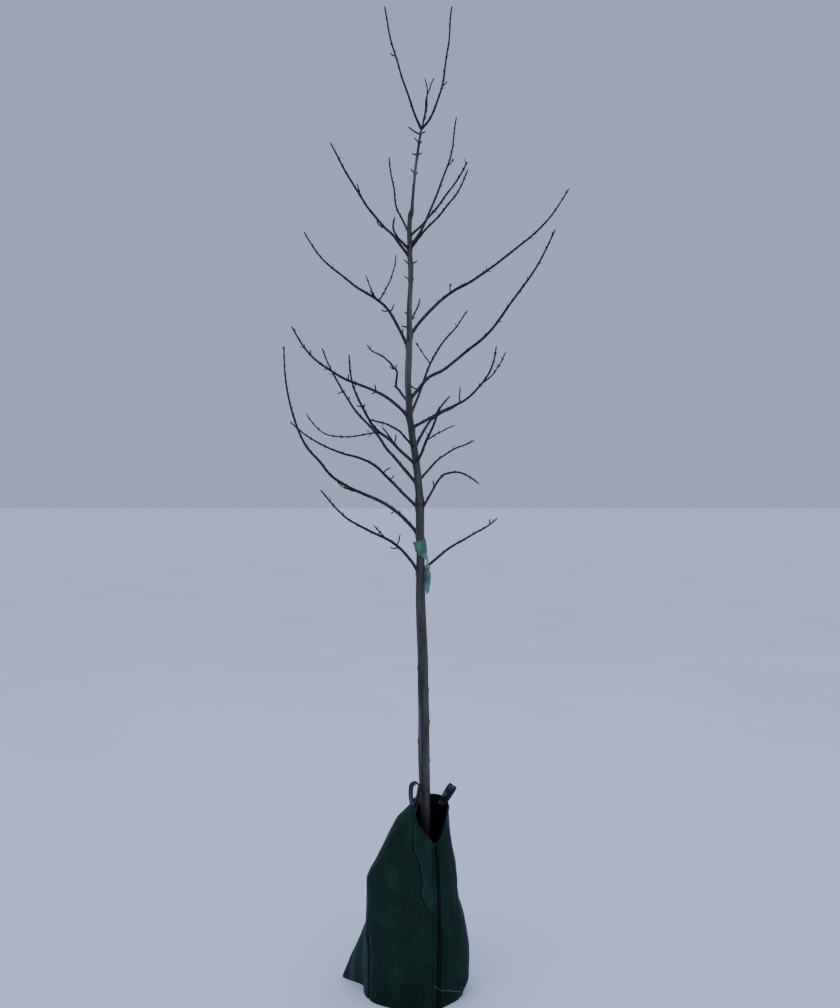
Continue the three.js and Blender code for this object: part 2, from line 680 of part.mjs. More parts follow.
// Zip: a flat tape laid up the front of the bag to the head of the notch
function zipGeometry() {
  const top = rimHeight(0);
  const geometry = new THREE.BoxGeometry(ZIP.width, ZIP.thickness, 1, 1, 1, BAG_ROWS);
  const position = geometry.attributes.position;
  const turn = 2 * Math.PI / BAG_COLUMNS;
  for (let i = 0; i < position.count; i += 1) {
    const height = top * Math.round((position.getZ(i) + 0.5) * BAG_ROWS) / BAG_ROWS;
    const angle = zipAngle(height);
    const middle = bagPoint(angle, height, 0);
    const along = bagPoint(angle + turn, height, 0).sub(bagPoint(angle - turn, height, 0)).normalize();
    const out = new THREE.Vector3(along.y, -along.x, 0);
    const place = middle
      .addScaledVector(along, position.getX(i))
      .addScaledVector(out, GAP + 0.5 * ZIP.thickness - position.getY(i));
    position.setXYZ(i, place.x, place.y, place.z);
  }
  return geometry;
}

// A webbing strap bent to a standing loop whose two ends lie together in a short tail
function strapGeometry(loop, length) {
  const half = loop / 2;
  const inner = half - STRAP.thickness;
  const top = length - half;
  const drop = STRAP.thickness;
  const outline = new THREE.Shape();
  outline.moveTo(-drop, -STRAP.tail);
  outline.lineTo(drop, -STRAP.tail);
  outline.lineTo(drop, 0);
  outline.quadraticCurveTo(half, top * STRAP.bulge, half, top);
  outline.absarc(0, top, half, 0, Math.PI, false);
  outline.quadraticCurveTo(-half, top * STRAP.bulge, -drop, 0);
  outline.closePath();
  const hole = new THREE.Path();
  hole.moveTo(0, STRAP.pinch);
  hole.quadraticCurveTo(inner, top * STRAP.bulge, inner, top);
  hole.absarc(0, top, inner, 0, Math.PI, false);
  hole.quadraticCurveTo(-inner, top * STRAP.bulge, 0, STRAP.pinch);
  outline.holes.push(hole);
  const geometry = new THREE.ExtrudeGeometry(outline, {
    depth: STRAP.width, bevelEnabled: false, curveSegments: 8, steps: 1,
  });
  geometry.translate(0, 0, -STRAP.width / 2);
  geometry.rotateX(Math.PI / 2);
  return geometry;
}

function addHandles() {
  const cutter = solid(bagGeometry(GAP));
  for (const { name, x, y, turn, tilt, sink, loop, length } of HANDLES) {
    const geometry = strapGeometry(loop, length);
    geometry.rotateZ(radians(turn));
    geometry.rotateY(radians(tilt));
    geometry.translate(x, y, RIM - sink);
    addNode(name, geometryOf(solid(geometry).subtract(cutter)), COLOURS.strap, 0.5);
  }
}

// Band of the ribbon: a loose, slanting ring, from a lathed strip moved to its place
function bandGeometry() {
  const strip = [[1, 0], [2, 0], [2, 1], [1, 1], [1, 0]].map(([x, y]) => new THREE.Vector2(x, y));
  const geometry = new THREE.LatheGeometry(strip, BAND.sides);
  const position = geometry.attributes.position;
  for (let i = 0; i < position.count; i += 1) {
    const angle = Math.atan2(position.getZ(i), position.getX(i));
    const outside = Math.hypot(position.getX(i), position.getZ(i)) > 1.5;
    const right = (Math.cos(angle) + 1) / 2;
    const top = BAND.left + (BAND.right - BAND.left) * right;
    const bottom = BAND.lowLeft + (BAND.lowRight - BAND.lowLeft) * right;
    const height = position.getY(i) > 0.5 ? top : bottom;
    const grow = outside ? 0 : -BAND.thickness;
    const middle = trunkMiddle(height);
    position.setXYZ(
      i,
      middle.x + (BAND.wide + grow) * Math.cos(angle),
      middle.y - BAND.forward - (BAND.deep + grow) * Math.sin(angle),
      height,
    );
  }
  return geometry;
}

function addRibbon() {
  const cutter = solid(trunkGeometry(GAP));
  addNode('ribbon_band', geometryOf(solid(bandGeometry()).subtract(cutter)), COLOURS.ribbon, 0.6);
  const knot = new THREE.SphereGeometry(KNOT.radius, 8, 6);
  knot.rotateX(Math.PI / 2);
  knot.scale(1, 1, KNOT.tall / KNOT.radius);
  knot.translate(KNOT.x, KNOT.y, KNOT.height);
  const tail = new THREE.BoxGeometry(TAIL.width, TAIL.thickness, TAIL.length, 1, 1, 6);
  const position = tail.attributes.position;
  for (let i = 0; i < position.count; i += 1) {
    const down = 0.5 - position.getZ(i) / TAIL.length;
    const broad = TAIL.narrowest + (1 - TAIL.narrowest) * Math.sin(Math.PI * down);
    const x = KNOT.x + TAIL.swing * Math.sin(Math.PI * down) + position.getX(i) * broad;
    position.setXYZ(i, x, KNOT.y + position.getY(i), KNOT.height - down * TAIL.length);
  }
  addNode('ribbon_tail', geometryOf(solid(knot).add(solid(tail)).subtract(cutter)), COLOURS.ribbon, 0.6);
}

addTree();
addNode('bag', geometryOf(solid(bagGeometry(0)).subtract(solid(trunkGeometry(GAP)))), COLOURS.bag, 0.6);
addNode('zip', geometryOf(solid(zipGeometry())), COLOURS.zip, 0.6);
addHandles();
addRibbon();

export default tree;
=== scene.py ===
import math

import bpy
import numpy as np
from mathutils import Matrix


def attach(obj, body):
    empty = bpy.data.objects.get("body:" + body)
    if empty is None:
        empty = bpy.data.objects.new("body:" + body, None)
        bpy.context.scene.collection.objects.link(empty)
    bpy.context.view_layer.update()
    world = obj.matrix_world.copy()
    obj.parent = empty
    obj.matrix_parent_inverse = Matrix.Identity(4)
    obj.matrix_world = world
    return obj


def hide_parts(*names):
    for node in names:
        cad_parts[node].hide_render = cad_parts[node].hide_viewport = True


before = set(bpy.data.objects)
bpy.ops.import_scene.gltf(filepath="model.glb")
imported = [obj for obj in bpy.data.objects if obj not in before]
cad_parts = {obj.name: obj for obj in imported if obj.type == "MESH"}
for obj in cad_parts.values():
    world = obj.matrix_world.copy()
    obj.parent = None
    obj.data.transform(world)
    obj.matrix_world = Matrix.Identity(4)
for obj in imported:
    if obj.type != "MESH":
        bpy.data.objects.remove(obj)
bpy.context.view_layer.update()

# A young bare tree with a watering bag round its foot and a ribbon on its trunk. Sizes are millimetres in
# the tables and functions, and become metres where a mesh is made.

MM = 0.001


def named(fields, rows):
    """Rows of a table as dictionaries, the keys given once for all; a short row leaves out the last ones."""
    return [dict(zip(fields.split(), row)) for row in rows]


# Camera at eye height, level, a little to the left of the trunk
CAMERA = {"x": -17, "distance": 2800, "height": 1600, "lens": 30.04}

# The tree's driving sizes, as in the part's source
FORK_HEIGHT = 2858
TRUNK = named("height lean radius", [
    (0, 0, 27), (45, 0, 22.5), (150, 0, 20), (660, -1, 17.7), (1110, -7, 16.8), (1360, -15, 14.4),
    (1590, -17, 12.8), (1715, -27, 11.8), (1890, -51, 10.9), (1985, -55.5, 10.5), (2070, -55.5, 10),
    (2160, -53, 9.3), (2240, -53.5, 8.6), (2380, -49.8, 7.7), (2470, -52, 7.2), (2545, -51.5, 6.5),
    (2645, -41, 4.7), (2770, -23.5, 4.2), (FORK_HEIGHT, -11, 3.8),
])
COLLARS = named("height swell spread", [(1608, 2.4, 14), (2566, 1.9, 13)])
ROOT_LOBES = dict(count=5, depth=0.16, height=110)
TRUNK_MESH = dict(sides=72, foot=40, foot_step=2.5, step=4.0, head=1.5)
TWIG_CLEARANCE = 4

# Limbs, with slopes and holds at both ends and the bare share. A kink is a share of the length and how far it
# lifts the line there, and the last list holds the limb's shoots
LIMBS = named("name height azimuth reach rise leave arrive hold settle thick share kinks shoots", [
    ("first_left", 1350, 205, 350, 296, 64, 56, 0.4, 0.42, 4.6, 0.2,
     [(0.25, 9), (0.6, 14), (0.7, -24), (0.9, 8)], [(0.31, 20, 15, 38), (0.4, 190, 43, 47, 46, 50)]),
    ("first_right", 1369, 25, 296, 183, 42, 40, 0.4, 0.36, 4.2, 0.4, [(0.5, 8)], [(0.88, 60, 4, 22)]),
    ("second_left", 1489, 165, 492, 662, 40, 89, 0.5, 0.5, 5.4, 0.26,
     [(0.12, 24), (0.21, 34), (0.29, -14), (0.37, -60), (0.43, -45), (0.5, 55)], [(0.3, 172, 84, 46, 12)]),
    ("third_left", 1580, 155, 517, 317, 43, 44, 0.44, 0.44, 4.6, 0.22,
     [(0.1, -7), (0.3, -16), (0.4, 34), (0.5, 30), (0.7, -14)], [(0.25, 45, 20, 18)]),
    ("third_right", 1575, 315, 259, 87, 38, -30, 0.44, 0.42, 3.6, 0.36, [(0.3, -8), (0.48, 46), (0.7, -4)]),
    ("fourth_left", 1659, 142, 450, 513, 46, 66, 0.36, 0.34, 5, 0.5,
     [(0.2, 9), (0.3, -44), (0.4, 30), (0.5, 14), (0.7, -9)]),
    ("fourth_right", 1672, 50, 315, 158, 44, 18, 0.4, 0.4, 3.2, 0),
    ("fifth_left", 1728, 225, 293, 333, 32, 84, 0.42, 0.42, 4.8, 0.38,
     [(0.3, 22), (0.45, -26)], [(0.42, 172, 240, 64, -9, 60, 0.5, 0.46)]),
    ("fifth_front", 1738, 290, 300, 185, 30, 14, 0.26, 0.4, 4.4, 0.3,
     [(0.25, -19), (0.5, 12)], [(0.34, 345, 96, 48, 34, 20, 0.3)]),
    ("sixth_front", 1785, 245, 311, 68, 32, -2, 0.4, 0.4, 3.2, 0, [(0.6, -6)]),
    ("sixth_back", 1780, 65, 399, 206, 47, 26, 0.46, 0.46, 4.4, 0.36, [(0.2, 5)], [(0.4, 30, 30, 44)]),
    ("seventh_left", 1882, 208, 414, 270, 50, 58, 0.45, 0.52, 4.8, 0.46,
     [(0.2, 6), (0.32, -14)], [(0.78, 190, 4, 22)]),
    ("seventh_right", 1852, 340, 292, 257, 27, 85, 0.45, 0.42, 4.2, 0.4,
     [], [(0.46, 150, 6, 52), (0.68, 352, 78, 102, 30, 68, 0.34)]),
    ("eighth_left", 1938, 125, 267, 234, 38, 34, 0.3, 0.3, 3.4, 0,
     [(0.286, -125), (0.357, 133), (0.5, 30), (0.9, -14)]),
    ("eighth_right", 1944, 338, 495, 512, 45, 62, 0.44, 0.4, 4.8, 0.34,
     [(0.143, 38), (0.24, -52), (0.43, -10)]),
    ("eighth_back", 1887, 62, 460, 451, 58, 37, 0.42, 0.36, 3.8, 0.3, [], [(0.4, 178, 52, 76, 50, 58, 0.3)]),
    ("ninth_left", 2114, 160, 392, 437, 64, 61, 0.5, 0.48, 4.6, 0.28,
     [(0.3, 14), (0.5, -6)], [(0.34, 170, 46, 90, 40, 66, 0.3), (0.34, 20, 61, 164, 58, 88, 0.3, 0.4)]),
    ("ninth_right", 2155, 15, 579, 553, 58, 60, 0.5, 0.42, 4.8, 0.22,
     [(0.1, 9), (0.24, 6), (0.35, -40), (0.6, -10), (0.8, 12)], [(0.26, 80, 4, 36)]),
    ("ninth_back", 2202, 75, 141, 115, 36, 48, 0.3, 0.3, 2.4, 0, [(0.4, -6)]),
    ("tenth_left", 2421, 215, 302, 309, 40, 58, 0.4, 0.4, 4, 0.42,
     [(0.2, 22), (0.3, -20), (0.5, -13), (0.75, 11)], [(0.55, 200, 20, 52, 44)]),
    ("tenth_right", 2456, 55, 290, 543, 46, 78, 0.34, 0.34, 3.8, 0.4, [], [(0.66, 350, 22, 26)]),
    ("tenth_low_right", 2446, 345, 198, 248, 52, 62, 0.42, 0.34, 3.2, 0, [(0.4, 4), (0.7, -14)]),
    ("tenth_front", 2448, 235, 83, 85, 20, 105, 0.9, 0.3, 4, 0, [(0.5, -8)]),
    ("eleventh_left", 2504, 115, 172, 315, 38, 82, 0.34, 0.34, 2.8, 0, [(0.4, 3)]),
    ("eleventh_right", 2491, 315, 258, 175, 26, 54, 0.42, 0.42, 3.2, 0.36, [(0.2, -16), (0.4, 20)]),
    ("leader_left", 2848, 200, 129, 384, 62, 80, 0.3, 0.3, 3.1, 0, [], [(0.6, 175, 20, 14)]),
    ("leader_right", 2848, 20, 110, 434, 46, 82, 0.3, 0.3, 3.1, 0,
     [], [(0.01, 330, 10, 165, 74, 104, 0.7, 0.2), (0.01, 330, 46, 157, 74, 58, 0.7, 0.2, [(0.6, 8)]),
          (0.39, 0, 18, 18)]),
])
LIMB = dict(tip=1.5, taper=0.85, collar=0.45, collar_length=9, path=14, sample_step=15.5)
WANDER = dict(sideways=0.012, sideways_waves=1.6, upright=0.005, upright_waves=2.7)
SHOOT_FIELDS = "at azimuth reach rise leave arrive hold settle kinks"
SHOOT = dict(thick=1.7, tip=1.1, leave=30, arrive=70, hold=0.34, settle=0.34, kinks=[])
SPUR = dict(first_at=26, spacing=50, spacing_spread=22, shortest=8, spread=13, slope=52, from_end=4,
            chance=0.55)
BUD = dict(length=7, radius=2.1)
SEED = dict(first=101, step=37)
RANDOM = dict(multiply=1664525, add=1013904223, range=2 ** 32)

# Short spurs on the upper trunk: height, azimuth, reach and rise
TRUNK_SPURS = [
    (2832, 178, 40, 27), (2834, 8, 12, 8), (2804, 186, 14, 15), (2801, 12, 5, 7), (2763, 176, 15, 5),
    (2764, 352, 8, 4), (2702, 190, 11, 13), (2699, 20, 5, 5), (2651, 92, 9, 8), (2650, 268, 6, 7),
    (2398, 182, 13, 17), (2400, 4, 16, 10), (2348, 170, 11, 12), (2346, 352, 5, 4), (2296, 85, 9, 8),
    (2234, 188, 6, 4), (2189, 176, 17, 6), (2141, 262, 8, 8), (2072, 95, 10, 9), (1996, 356, 20, -12),
    (1962, 268, 7, 6), (1828, 98, 8, 7), (1654, 272, 6, 5),
]
# Finer twigs, in the scene alone, read from the photo: limb, share, azimuth, reach, rise and both slopes
FINE_TWIGS = [
    ("fifth_left", 0.25, 190, 42, 58, 60, 50), ("fifth_left", 0.25, 300, 12, 32, 70, 85),
    ("first_left", 0.287, 190, 27, 1, -35, 55), ("tenth_left", 0.3, 200, 26, 20, -30, 80),
    ("ninth_left", 0.345, 175, 29, 34, 48, 52),
    ("ninth_left", 0.097, 300, 8, 18, 60, 80), ("ninth_left", 0.26, 185, 24, 2, -35, 45),
    ("ninth_left", 0.243, 320, 17, 26, 50, 70), ("ninth_right", 0.317, 330, 14, 8, 60, 10),
    ("seventh_left", 0.297, 240, 6, 21, 70, 80), ("seventh_left", 0.297, 190, 14, -8, -40, -20),
    ("third_left", 0.303, 340, 26, 19, 75, 10), ("third_right", 0.327, 210, 5, 21, 60, 85),
    ("second_left", 0.11, 120, 10, 18, 40, 80), ("second_left", 0.143, 200, 14, -10, -50, -20),
    ("eighth_left", 0.423, 190, 19, 8, 5, 50), ("eighth_left", 0.423, 300, 7, 14, 60, 80),
    ("eighth_left", 0.247, 200, 9, 3, 40, 10), ("fifth_left", 0.647, 190, 16, 3, 0, 40),
    ("fifth_left", 0.627, 300, 8, 15, 60, 80), ("seventh_left", 0.503, 260, 4, 19, 70, 85),
    ("fourth_left", 0.713, 190, 19, -10, -40, 20), ("fourth_left", 0.64, 300, 8, 12, 60, 80),
]
# Short growth between the joints: where a gap is wide enough, how often it is a spur and how long
FINE = dict(gap=30, chance=0.85, low_chance=0.3, shortest=4, longest=10, slope=56, thick=1.5, bark=0.75,
            seed=4000, twig_seed=500, trunk_seed=700)
# Swelling and groove that the bark has at a joint: how much, how wide and how far up
JOINT = dict(swell=0.42, width=3.2, groove=0.12, groove_width=1.3, groove_up=4.2)
# Length and radius of the smaller buds
SIDE_BUD, TIP_PAIR, SPUR_PAIR = (5.2, 1.25), (4.2, 1.15), (2.6, 0.8)
TRUNK_BUD, TRUNK_PAIR, FINE_BUD = (5.2, 1.6), (3.0, 0.9), (5.0, 1.35)
SPUR_BUD = dict(longest=4.6, share=0.45, radius=1.35)
SHOOT_BUD_RADIUS = 1.45
# Sides of each kind of tube, and the first seed of its bark relief
BOUGH = dict(sides=18, seed=50)
TWIG = dict(sides=14, seed=90)
SIDE_SHOOT = dict(sides=12, seed=130)
TRUNK_TWIG = dict(sides=10, seed=300)
FINE_TWIG = dict(sides=10, seed=400)
# How the bark leaves the part's smooth trunk: height, sideways and thicker
TRUNK_SWAY = [
    (640, 0, 0), (740, -2, 1), (820, -2, 1.4), (910, -1, 0.4), (1010, -2, 0.5), (1090, -1, 0.4),
    (1200, -3, 0.7), (1290, -2, 0.9), (1380, 0, 0), (1490, 0, 0), (1530, -1, 1), (1583, 0, 1.2),
    (1640, 0, 0.4), (1960, 0, 0.3), (2010, -1.4, 0.3), (2063, 0, 1.2), (2116, 1.2, 1.2), (2170, 0.8, 0.5),
    (2270, 1, 0.2), (2330, 2.6, 0), (2382, 2.3, 1.4), (2430, 0.8, 0.3), (2489, 0, 1.2), (2545, 0.4, 1.2),
    (2562, 2, 1), (2582, 5, -0.2), (2605, 3.6, -0.2), (2645, 2, 0.2), (2690, 0.5, 0.2), (2725, -1.5, 0.4),
    (2785, -1.3, 0.2), (2858, 0, 0),
]
# Knots and scars of the trunk: height, azimuth, how far each stands out, its width and its hollow
TRUNK_SCARS = [
    (655, 300, 1.3, 6, 2.2), (748, 342, 1.6, 7, 2.4), (811, 192, 1.8, 8, 1.2), (921, 262, 0.7, 4, 1.1),
    (981, 350, 2.2, 8, 1.0), (1054, 196, 2.0, 8, 0.8), (1097, 287, 0.7, 4, 1.2), (1157, 268, 0.6, 4, 1.2),
    (1236, 74, 1.6, 8, 1.6), (874, 352, 2.2, 9, 1.2), (706, 128, 1.3, 6, 1.8), (1322, 152, 1.2, 6, 1.4),
    (1011, 268, 0.6, 4, 1.5), (845, 292, 0.6, 4, 1.5),
    (1545, 330, 1.2, 6, 1.6), (2566, 262, 1.2, 6, 2.4), (520, 210, 1.4, 7, 1.6), (1448, 80, 1.0, 5, 1.4),
]

# The bag's outer face, as in the part's source
BAG = named("height left right front back zip", [
    (0, -203, 142, -138, 92, 41), (142, -200, 146, -118, 88, 44), (231, -194, 130, -104, 82, 46),
    (300, -193, 110, -95, 78, 45), (365, -191, 106, -86, 74, 42), (510, -120, 84, -66, 54, 34),
    (558, -95, 79, -60, 40, 33), (612, -44, 76, -52, 21, 33),
])
BAG_TOP = 660
BAG_SQUARENESS = 2.3
RIM = 610
BACK_RIM_RISE = 18
NOTCH = dict(left=0.64, right=0.68, depth=118, power=1.6)
FIN = dict(angle=2.76, reach=90, width=0.15, height=228)
SHEET = 2.2
# The overlapped panel at the left of the zip: x of its folded edge at some heights
FLAP = [(272, 42), (292, 12), (331, -10), (351, -15), (374, -6), (442, -19), (473, -35), (538, -37.5),
        (564, -31), (618, -42)]
FLAP_STEP = 3.6
# Where the body's own edge runs down in front of the fin
FIN_SPLIT = dict(x=-185, top=212)
# Pale end of the welded seam, right of the zip: turn and height
SEAM = [(-0.1, 69), (0.05, 52), (0.27, 45), (0.62, 26)]
# Creases of the stiff sheet: turn from the zip and height at both ends, depth and half width
CREASES = [
    (-0.95, 560, -1.75, 500, 4.0, 16), (-0.70, 520, -1.30, 470, -2.5, 12), (-1.60, 470, -1.95, 330, 3.0, 18),
    (-0.90, 420, -1.35, 300, -2.2, 14), (-0.45, 290, -0.95, 120, 2.4, 18), (-1.15, 250, -1.50, 40, -2.6, 20),
    (-1.72, 330, -1.62, 20, 3.4, 12), (0.30, 470, 0.62, 300, 2.2, 14), (0.75, 330, 0.40, 150, -2.4, 16),
    (1.05, 430, 1.30, 180, 2.6, 18), (0.35, 130, 0.85, 20, 2.0, 16), (1.55, 560, 1.80, 330, -2.6, 14),
    (2.10, 500, 1.90, 220, 3.0, 18), (2.50, 600, 2.70, 400, -3.0, 16), (3.00, 440, 2.60, 160, 3.0, 20),
    (-2.85, 580, -2.60, 420, -2.6, 14), (-2.55, 380, -2.85, 120, 3.2, 20), (-2.35, 300, -2.15, 60, -3.0, 14),
]

# Length of sheet for one radian of turn from the zip, and the pitch of its weave
SHEET_TURN = 95.0
WEAVE = 2.4

# Zip, with how far each layer stands off the bag and its thickness
ZIP = dict(tape=10, tooth=1.5, pitch=2.6, band=12, under=1.3, rows=130, tooth_lift=1.7, thread_lift=2.1)
ZIP_BAND = dict(lift=1.1, thick=1.4, half=ZIP["band"] / 2)
ZIP_TAPE = dict(lift=0.9, thick=1.2, half=ZIP["tape"] / 2)
STRAP = dict(width=25, thickness=4.8, centre=1.5, tail=16, bulge=0.38, cup=2.2, twist=-0.2, rib=1.7, pick=1.5)
HANDLES = named("name x y turn tilt sink loop length", [
    ("handle_left", -37.5, -38, 22, 5, 4, 31, 79), ("handle_right", 61, 8, 65, 31, 2, 34, 62),
])

# Ribbon: the band's two edges on the left and right, its knot and its tail
BAND = dict(left=1473, right=1487, low_left=1442, low_right=1413, wide=22, forward=3.4, corner=3.2, bulge=3.6,
            roundness=0.85, columns=120, rows=26)
KNOT = dict(x=6.8, y=-11.5, height=1390, radius=10, turns=5, first_lean=12, lean_step=34, core=(16, 11, 15))
TAIL = dict(length=87, width=21, swing=2.2)
# Half width of the tail, as a share, along its length
TAIL_SHAPE = [(0, 0.34), (0.1, 0.62), (0.24, 0.98), (0.34, 1), (0.6, 0.86), (0.84, 0.66), (0.95, 0.46),
              (1, 0.2)]

# Soft lights from the sky: name, place, size and power
SKY_LIGHTS = [
    ("sky_left", (-2.6, -2.4, 4.6), 3.5, 24), ("sky_right", (2.8, -1.6, 4.2), 3.5, 14),
    ("sky_back", (0.4, 3.0, 4.4), 3.0, 14),
]
LIT_HEIGHT = 1.3


def seeded(seed):
    """The same numbers as the part's source for one seed."""
    state = seed

    def draw():
        nonlocal state
        state = (state * RANDOM["multiply"] + RANDOM["add"]) % RANDOM["range"]
        return state / RANDOM["range"]

    return draw


def grain(u, v, columns, seed):
    """Smooth noise from -1 to 1 that closes on itself after that many columns of u."""
    table = np.random.default_rng(seed).uniform(-1, 1, (columns, 257))
    i, j = np.floor(u).astype(int), np.floor(v).astype(int)
    s, t = u - i, v - j
    s, t = s * s * (3 - 2 * s), t * t * (3 - 2 * t)
    a, b = i % columns, (i + 1) % columns
    c, d = j % 257, (j + 1) % 257
    low = table[a, c] * (1 - s) + table[b, c] * s
    high = table[a, d] * (1 - s) + table[b, d] * s
    return low * (1 - t) + high * t


def smooth(x):
    """0 below 0, 1 above 1 and smooth between."""
    x = np.clip(x, 0, 1)
    return x * x * (3 - 2 * x)


def hump(x, width):
    """1 where x is 0, fading to nothing about two widths away."""
    return np.exp(-(x / width) ** 2)


def rounded(x, power):
    """A sine or cosine bent towards a square at powers below 1."""
    return np.sign(x) * np.abs(x) ** power


def circle(count):
    """Even angles once round."""
    return np.arange(count) / count * 2 * math.pi


def unit(v):
    return v / np.linalg.norm(v)


def tangents(points):
    """Unit tangents of a path."""
    along = np.gradient(points, axis=0)
    return along / np.linalg.norm(along, axis=1)[:, None]


def travelled(points):
    """Length of a path up to each of its points."""
    return np.concatenate([[0], np.cumsum(np.linalg.norm(np.diff(points, axis=0), axis=1))])


def point_along(line, travel, at):
    return np.array([np.interp(at, travel, line[:, k]) for k in range(3)])


def station(table, key, height):
    """One column of a table of stations at a height, on a smooth line through them."""
    last = len(table) - 1
    i = 0
    while i < last - 1 and height > table[i + 1]["height"]:
        i += 1
    low, high = table[i], table[i + 1]
    span = high["height"] - low["height"]
    t = min(max((height - low["height"]) / span, 0), 1)
    before, after = table[max(i - 1, 0)], table[min(i + 2, last)]

    def slope(a, b):
        return (b[key] - a[key]) / ((b["height"] - a["height"]) or 1)

    into = slope(before, high) if i > 0 else slope(low, high)
    out = slope(low, after) if i + 1 < last else slope(low, high)
    t2, t3 = t * t, t ** 3
    return ((2 * t3 - 3 * t2 + 1) * low[key] + (t3 - 2 * t2 + t) * span * into
            + (3 * t2 - 2 * t3) * high[key] + (t3 - t2) * span * out)


def profile(table, key, top):
    heights = np.arange(0, top + 2)
    values = np.array([station(table, key, h) for h in heights])
    return lambda height: np.interp(height, heights, values)


trunk_lean = profile(TRUNK, "lean", FORK_HEIGHT)
trunk_taper = profile(TRUNK, "radius", FORK_HEIGHT)


def trunk_middle(height):
    return np.array([float(trunk_lean(height)), 0.0, height])


def trunk_radius(height):
    radius = trunk_taper(height)
    for collar in COLLARS:
        radius = radius + collar["swell"] * hump(height - collar["height"], collar["spread"])
    return radius


class Curve:
    """A curve that is read by a share of its length, as the part's source reads its own."""

    DIVISIONS = 200
    DELTA = 0.0001

    def __init__(self, at):
        self.at = at
        self.shares = np.linspace(0, 1, self.DIVISIONS + 1)
        self.lengths = travelled(np.array([at(t) for t in self.shares]))
        self.length = self.lengths[-1]

    def to_t(self, share):
        return float(np.interp(share * self.length, self.lengths, self.shares))

    def point(self, share):
        return self.at(self.to_t(share))

    def tangent(self, share):
        t = self.to_t(share)
        a, b = max(t - self.DELTA, 0), min(t + self.DELTA, 1)
        along = self.at(b) - self.at(a)
        return along / np.linalg.norm(along)


def bezier(a, b, c, d):
    def at(t):
        s = 1 - t
        return s ** 3 * a + 3 * s * s * t * b + 3 * s * t * t * c + t ** 3 * d

    return Curve(at)


def through(points):
    """A centripetal curve through points."""
    last = len(points) - 1

    def at(t):
        place = last * t
        i = min(int(place), last - 1)
        w = place - i
        p1, p2 = points[i], points[i + 1]
        p0 = points[i - 1] if i > 0 else 2 * points[0] - points[1]
        p3 = points[i + 2] if i + 2 <= last else 2 * points[last] - points[last - 1]
        d0, d1, d2 = (np.linalg.norm(b - a) ** 0.5 for a, b in ((p0, p1), (p1, p2), (p2, p3)))
        m1 = ((p1 - p0) / d0 - (p2 - p0) / (d0 + d1) + (p2 - p1) / d1) * d1
        m2 = ((p2 - p1) / d1 - (p3 - p1) / (d1 + d2) + (p3 - p2) / d2) * d1
        return ((2 * w ** 3 - 3 * w * w + 1) * p1 + (w ** 3 - 2 * w * w + w) * m1
                + (3 * w * w - 2 * w ** 3) * p2 + (w ** 3 - w * w) * m2)

    return Curve(at)


def direction(azimuth, slope=0):
    a, s = math.radians(azimuth), math.radians(slope)
    return np.array([math.cos(a) * math.cos(s), math.sin(a) * math.cos(s), math.sin(s)])


UP = np.array([0.0, 0.0, 1.0])


def limb_line(start, row, random):
    """Middle line of a limb or shoot: one bend from its root to its tip, with a slight seeded wander."""
    flat = direction(row["azimuth"])
    end = start + flat * row["reach"] + UP * row["rise"]
    chord = np.linalg.norm(end - start)
    bend = bezier(start, start + direction(row["azimuth"], row["leave"]) * row["hold"] * chord,
                  end - direction(row["azimuth"], row["arrive"]) * row["settle"] * chord, end)
    sideways = np.cross(UP, flat)
    upright = np.cross(unit(end - start), sideways)
    phase = random()
    points = []
    for i in range(LIMB["path"] + 1):
        t = i / LIMB["path"]
        amount = chord * math.sin(math.pi * t)
        aside = WANDER["sideways"] * amount * math.sin(2 * math.pi * (WANDER["sideways_waves"] * t + phase))
        off = WANDER["upright"] * amount * math.sin(2 * math.pi * (WANDER["upright_waves"] * t + phase))
        for at, by in row.get("kinks", []):
            off += by * min(t / at, (1 - t) / (1 - at))
        points.append(bend.point(t) + sideways * aside + upright * off)
    return through(points)


def limb_radius(row, length, t):
    """A taper, with a collar where the limb leaves the trunk."""
    taper = LIMB["tip"] + (row["thick"] - LIMB["tip"]) * (1 - t) ** LIMB["taper"]
    from_trunk = np.maximum(t * length - trunk_radius(row["height"]), 0)
    return taper * (1 + LIMB["collar"] * np.exp(-from_trunk / LIMB["collar_length"]))


def has_room(points, own, limbs):
    """A twig stays nearer to its own limb than to any other and touches neither limb nor trunk."""
    for point in points:
        home = np.linalg.norm(own["samples"] - point, axis=1).min()
        if np.linalg.norm(point - trunk_middle(point[2])) - trunk_radius(point[2]) < TWIG_CLEARANCE:
            return False
        for other in limbs:
            if other is own:
                continue
            distances = np.linalg.norm(other["samples"] - point, axis=1)
            k = distances.argmin()
            if distances[k] <= home or distances[k] - other["radii"][k] <= TWIG_CLEARANCE:
                return False
    return True


def out_from(along, angle):
    """The way out from a line, at an angle round it that starts level."""
    level = unit(np.cross(UP, along))
    return level * math.cos(angle) + np.cross(along, level) * math.sin(angle)


def sloped(out, along, slope):
    """The way out leant along the line: at 90 degrees it is straight out."""
    angle = math.radians(slope)
    return out * math.sin(angle) + along * math.cos(angle)


def joints_along(line, start, random, own, limbs):
    """Opposite pairs along a line: where each joint is and, on each side, its spur or its bud."""
    found = []
    length = line.length
    at = SPUR["first_at"]
    turn = random() * math.pi
    while at < length - BUD["length"]:
        t = at / length
        middle, along = line.point(t), line.tangent(t)
        for side in (0, math.pi):
            reach = SPUR["shortest"] + SPUR["spread"] * random() ** 2
            out = out_from(along, turn + side)
            end = middle + sloped(out, along, SPUR["slope"]) * reach
            grown = random() < SPUR["chance"] and at > start * length + SPUR["from_end"]
            grown = grown and has_room([end, middle + (end - middle) * 0.6], own, limbs)
            found.append(dict(at=t, middle=middle, along=along, out=out, end=end if grown else None))
        turn += math.pi / 2
        at += SPUR["spacing"] + SPUR["spacing_spread"] * (random() - 0.5)
    return found


